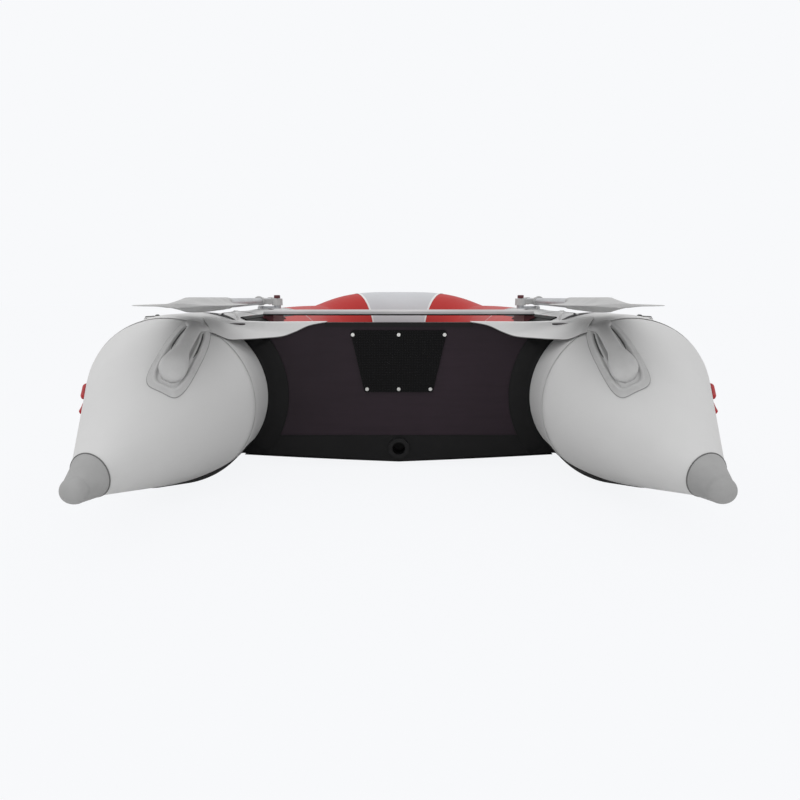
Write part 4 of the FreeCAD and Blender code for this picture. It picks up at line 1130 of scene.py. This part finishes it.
def bow_grab():
    """Webbing loop sewn to two round patches above the stem."""
    patch = bow_patch("bow_handle_patch_0", 0.105, 48.0, 0.036)
    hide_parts("bow_handle")
    bow_patch("bow_handle_patch_1", -0.105, 48.0, 0.036)
    spot, normal = stem_point(0.0, 48.0, 0.0)
    across = Vector((0, -normal.z, normal.y))
    path = []
    for i in range(49):
        t = -1 + 2 * i / 48
        p, _ = stem_point(0.118 * t, 48.0, 0.0062)
        high = 0.026 * math.cos(math.pi * t / 2) ** 0.7 if abs(t) < 0.84 else 0.026 * 0.39 * (
            max(0.0, (1 - abs(t)) / 0.16) ** 1.5)
        path.append(p + normal * high)
    strap("bow_handle_webbing", path, across, 0.026, 0.0026, WEBBING)


def build_fittings():
    for name, side in SIDES:
        oar_blade(name, side)
        oar_arch(name, side)
        rest = saddle(name, side)
        if side > 0:
            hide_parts("oar_saddles")
    bench()
    bow_grab()


# ---- bottom skin ----


def bottom_sheet():
    """Shallow vee of black fabric that climbs to the bow tube at its front."""
    low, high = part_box("bottom_skin")
    rows, columns = 80, 49
    half = high.x
    chine_z = AXIS_Z - 0.175
    start = high.y - 0.635
    points, normals, uvs = [], [], []
    for i in range(rows):
        y = low.y + (high.y - low.y) * i / (rows - 1)
        reach, climb = half, 0.0
        if y > ARC_Y:
            ahead = y - ARC_Y
            reach = math.sqrt(max((half + 0.002) ** 2 - ahead ** 2, 0.0)) - 0.002
            climb = rise(ARC_Y + ahead * TUBE_X / (half + 0.002))
        edge = chine_z + climb
        t = max(0.0, (y - start) / 0.635) ** 1.5
        keel = low.z + 0.0018 + (edge - low.z - 0.0018) * t
        line, norm, row = [], [], []
        for j in range(columns):
            u = -1 + 2 * j / (columns - 1)
            sag = 0.0012 * math.sin(math.pi * abs(u)) * math.sin(y * 9.0)
            line.append(Vector((u * reach, y, keel + (edge - keel) * abs(u) + sag)))
            norm.append(Vector((0, 0, 1)))
            row.append((u * reach, y))
        points.append(line)
        normals.append(norm)
        uvs.append(row)
    obj = sheet("bottom_cloth", points, uvs, SKIN_BLACK, 0.0012, normal_of=normals)
    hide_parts("bottom_skin")


# ---- cords ----


def cord(name, path, radius, material, body="hull", strands=3, twist=55.0):
    """Laid rope along a list of points."""
    sides = 18
    rings, uvs = [], []
    run = 0.0
    for i, p in enumerate(path):
        ahead = path[min(i + 1, len(path) - 1)]
        behind = path[max(i - 1, 0)]
        tangent = (ahead - behind).normalized()
        if i:
            run += (p - path[i - 1]).length
        guide = Vector((0, 0, 1)) if abs(tangent.z) < 0.8 else Vector((0, 1, 0))
        right = tangent.cross(guide).normalized()
        up = right.cross(tangent)
        ring, row = [], []
        for j in range(sides):
            a = 2 * math.pi * j / sides
            lay = abs(math.cos(strands * (a + run * twist) / 2)) if strands else 1.0
            r = radius * (0.86 + 0.14 * lay)
            ring.append(p + right * (r * math.cos(a)) + up * (r * math.sin(a)))
            row.append((a * radius, run))
        rings.append(ring)
        uvs.append(row)
    verts = [p for ring in rings for p in ring]
    faces = grid_faces(len(rings), sides, True)
    faces.append(tuple(range(sides)))
    faces.append(tuple(reversed(range(len(verts) - sides, len(verts)))))
    flat = [uv for row in uvs for uv in row]
    obj = new_piece(name, verts, faces, material, flat, body)
    outward(obj)
    return obj


def build_lifelines():
    low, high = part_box("lifelines")
    holders = [-0.048, 0.330, 0.700, 1.090]
    for name, side in SIDES:
        path = []
        count = 420
        start, end = TRANSOM_Y + holders[0] - 0.012, high.y - 0.006
        for i in range(count + 1):
            y = start + (end - start) * i / count
            slack = 0.0
            for a, b in zip(holders, holders[1:]):
                y0, y1 = TRANSOM_Y + a + 0.02, TRANSOM_Y + b - 0.02
                if y0 < y < y1:
                    slack = math.sin(math.pi * (y - y0) / (y1 - y0)) ** 2
            lift = 0.0075 - 0.003 * slack
            point, _ = tube_point(y - CONE_Y, 21.5 + 5.5 * slack, side, lift)
            path.append(point)
        line = cord("grab_line_" + name, path, 0.0037, CORD)
        if side > 0:
            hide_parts("lifelines")
        knot(name + "_aft", path[26])
        knot(name + "_fore", path[-1])


def knot(tag, centre):
    """Stopper knot: two turns of cord round the line's end."""
    path = []
    for i in range(61):
        a = 2 * math.pi * 2 * i / 60
        path.append(centre + Vector((0.0042 * math.cos(a), -0.005 + 0.010 * i / 60,
                                     0.0042 * math.sin(a))))
    cord("grab_knot_" + tag, path, 0.0034, CORD, twist=80.0)


# ---- staging ----


def area_light(name, place, target, size, power, colour=(1, 1, 1)):
    data = bpy.data.lights.new(name, "AREA")
    data.shape = "RECTANGLE"
    data.size, data.size_y = size
    data.energy = power
    data.color = colour
    obj = bpy.data.objects.new(name, data)
    obj.location = place
    direction = Vector(target) - Vector(place)
    obj.rotation_euler = direction.to_track_quat("-Z", "Y").to_euler()
    bpy.context.collection.objects.link(obj)


BACKDROP = (0.9387, 0.9473, 0.9647)


def seen_or_lit(t, seen, lit):
    """Shader that shows one thing to the camera and another to bounced light."""
    path = t.add("ShaderNodeLightPath")
    return t.add("ShaderNodeMixShader", {0: path.outputs["Is Camera Ray"], 1: lit, 2: seen})


def build_floor():
    size = 30.0
    mesh = bpy.data.meshes.new("floor")
    corners = [(-size, -size, 0), (size, -size, 0), (size, size, 0), (-size, size, 0)]
    mesh.from_pydata(corners, [], [(0, 1, 2, 3)])
    floor = bpy.data.objects.new("floor", mesh)
    bpy.context.collection.objects.link(floor)
    t = Tree("floor_paper")
    glow = t.add("ShaderNodeEmission", {"Color": (*BACKDROP, 1), "Strength": FLOOR_GLOW})
    paper = t.add("ShaderNodeBsdfDiffuse", {"Color": (*[c * FLOOR_PAPER for c in BACKDROP], 1)})
    seen = t.add("ShaderNodeAddShader", {0: glow, 1: paper})
    dim = t.add("ShaderNodeBsdfDiffuse", {"Color": (FLOOR_BOUNCE, FLOOR_BOUNCE, FLOOR_BOUNCE, 1)})
    t.set(t.nodes["Material Output"].inputs["Surface"], seen_or_lit(t, seen, dim))
    mesh.materials.append(t.material)


def build_world():
    """Plain backdrop for the camera; light that falls off from overhead to the horizon."""
    world = bpy.data.worlds.new("studio")
    world.use_nodes = True
    nodes, links = world.node_tree.nodes, world.node_tree.links
    coords = nodes.new("ShaderNodeTexCoord")
    split = nodes.new("ShaderNodeSeparateXYZ")
    links.new(coords.outputs["Generated"], split.inputs[0])
    level = nodes.new("ShaderNodeMapRange")
    links.new(split.outputs["Z"], level.inputs["Value"])
    for key, value in (("From Min", 0.0), ("From Max", 0.9), ("To Min", SKY_LOW), ("To Max", SKY_TOP)):
        level.inputs[key].default_value = value
    lit = nodes["Background"]
    lit.inputs[0].default_value = (1, 1, 1, 1)
    links.new(level.outputs[0], lit.inputs[1])
    seen = nodes.new("ShaderNodeBackground")
    seen.inputs[0].default_value = (*BACKDROP, 1)
    path = nodes.new("ShaderNodeLightPath")
    mix = nodes.new("ShaderNodeMixShader")
    links.new(path.outputs["Is Camera Ray"], mix.inputs[0])
    links.new(lit.outputs[0], mix.inputs[1])
    links.new(seen.outputs[0], mix.inputs[2])
    links.new(mix.outputs[0], nodes["World Output"].inputs["Surface"])
    bpy.context.scene.world = world


def build_stage():
    build_floor()
    build_world()
    area_light("key", (-1.5, -1.6, 3.0), (0, -0.3, 0.2), (2.5, 2.5), KEY_POWER)
    area_light("fill", (1.5, -1.6, 3.0), (0, -0.3, 0.2), (2.5, 2.5), FILL_POWER)
    area_light("front", (-0.8, -4.4, 0.30), (0, -0.9, 0.2), (2.6, 0.5), FRONT_POWER)
    view = bpy.context.scene.view_settings
    view.view_transform = "Standard"
    view.look = "None"
    view.exposure = 0.0


FLOOR_GLOW = 0.95
FLOOR_PAPER = 0.05
FLOOR_BOUNCE = 0.84
SKY_LOW = 0.80
SKY_TOP = 1.02
KEY_POWER = 9.0
FILL_POWER = 2.5
FRONT_POWER = 7.5
LENS = 24.06
CAMERA_BACK = 1.4553
CAMERA_X = 0.0013
CAMERA_Z = 0.471
PITCH_DOWN = 0.1895


def build_camera():
    data = bpy.data.cameras.new("camera")
    data.lens = LENS
    data.sensor_width = 36.0
    data.clip_start = 0.05
    obj = bpy.data.objects.new("camera", data)
    obj.location = (CAMERA_X, TRANSOM_Y - CAMERA_BACK, CAMERA_Z)
    obj.rotation_euler = (math.pi / 2 - PITCH_DOWN, 0, -0.0015)
    bpy.context.collection.objects.link(obj)
    bpy.context.scene.camera = obj


dress_cad_nodes()
build_tubes()
build_flaps()
build_handles()
build_fittings()
bottom_sheet()
build_lifelines()
build_stage()
build_camera()
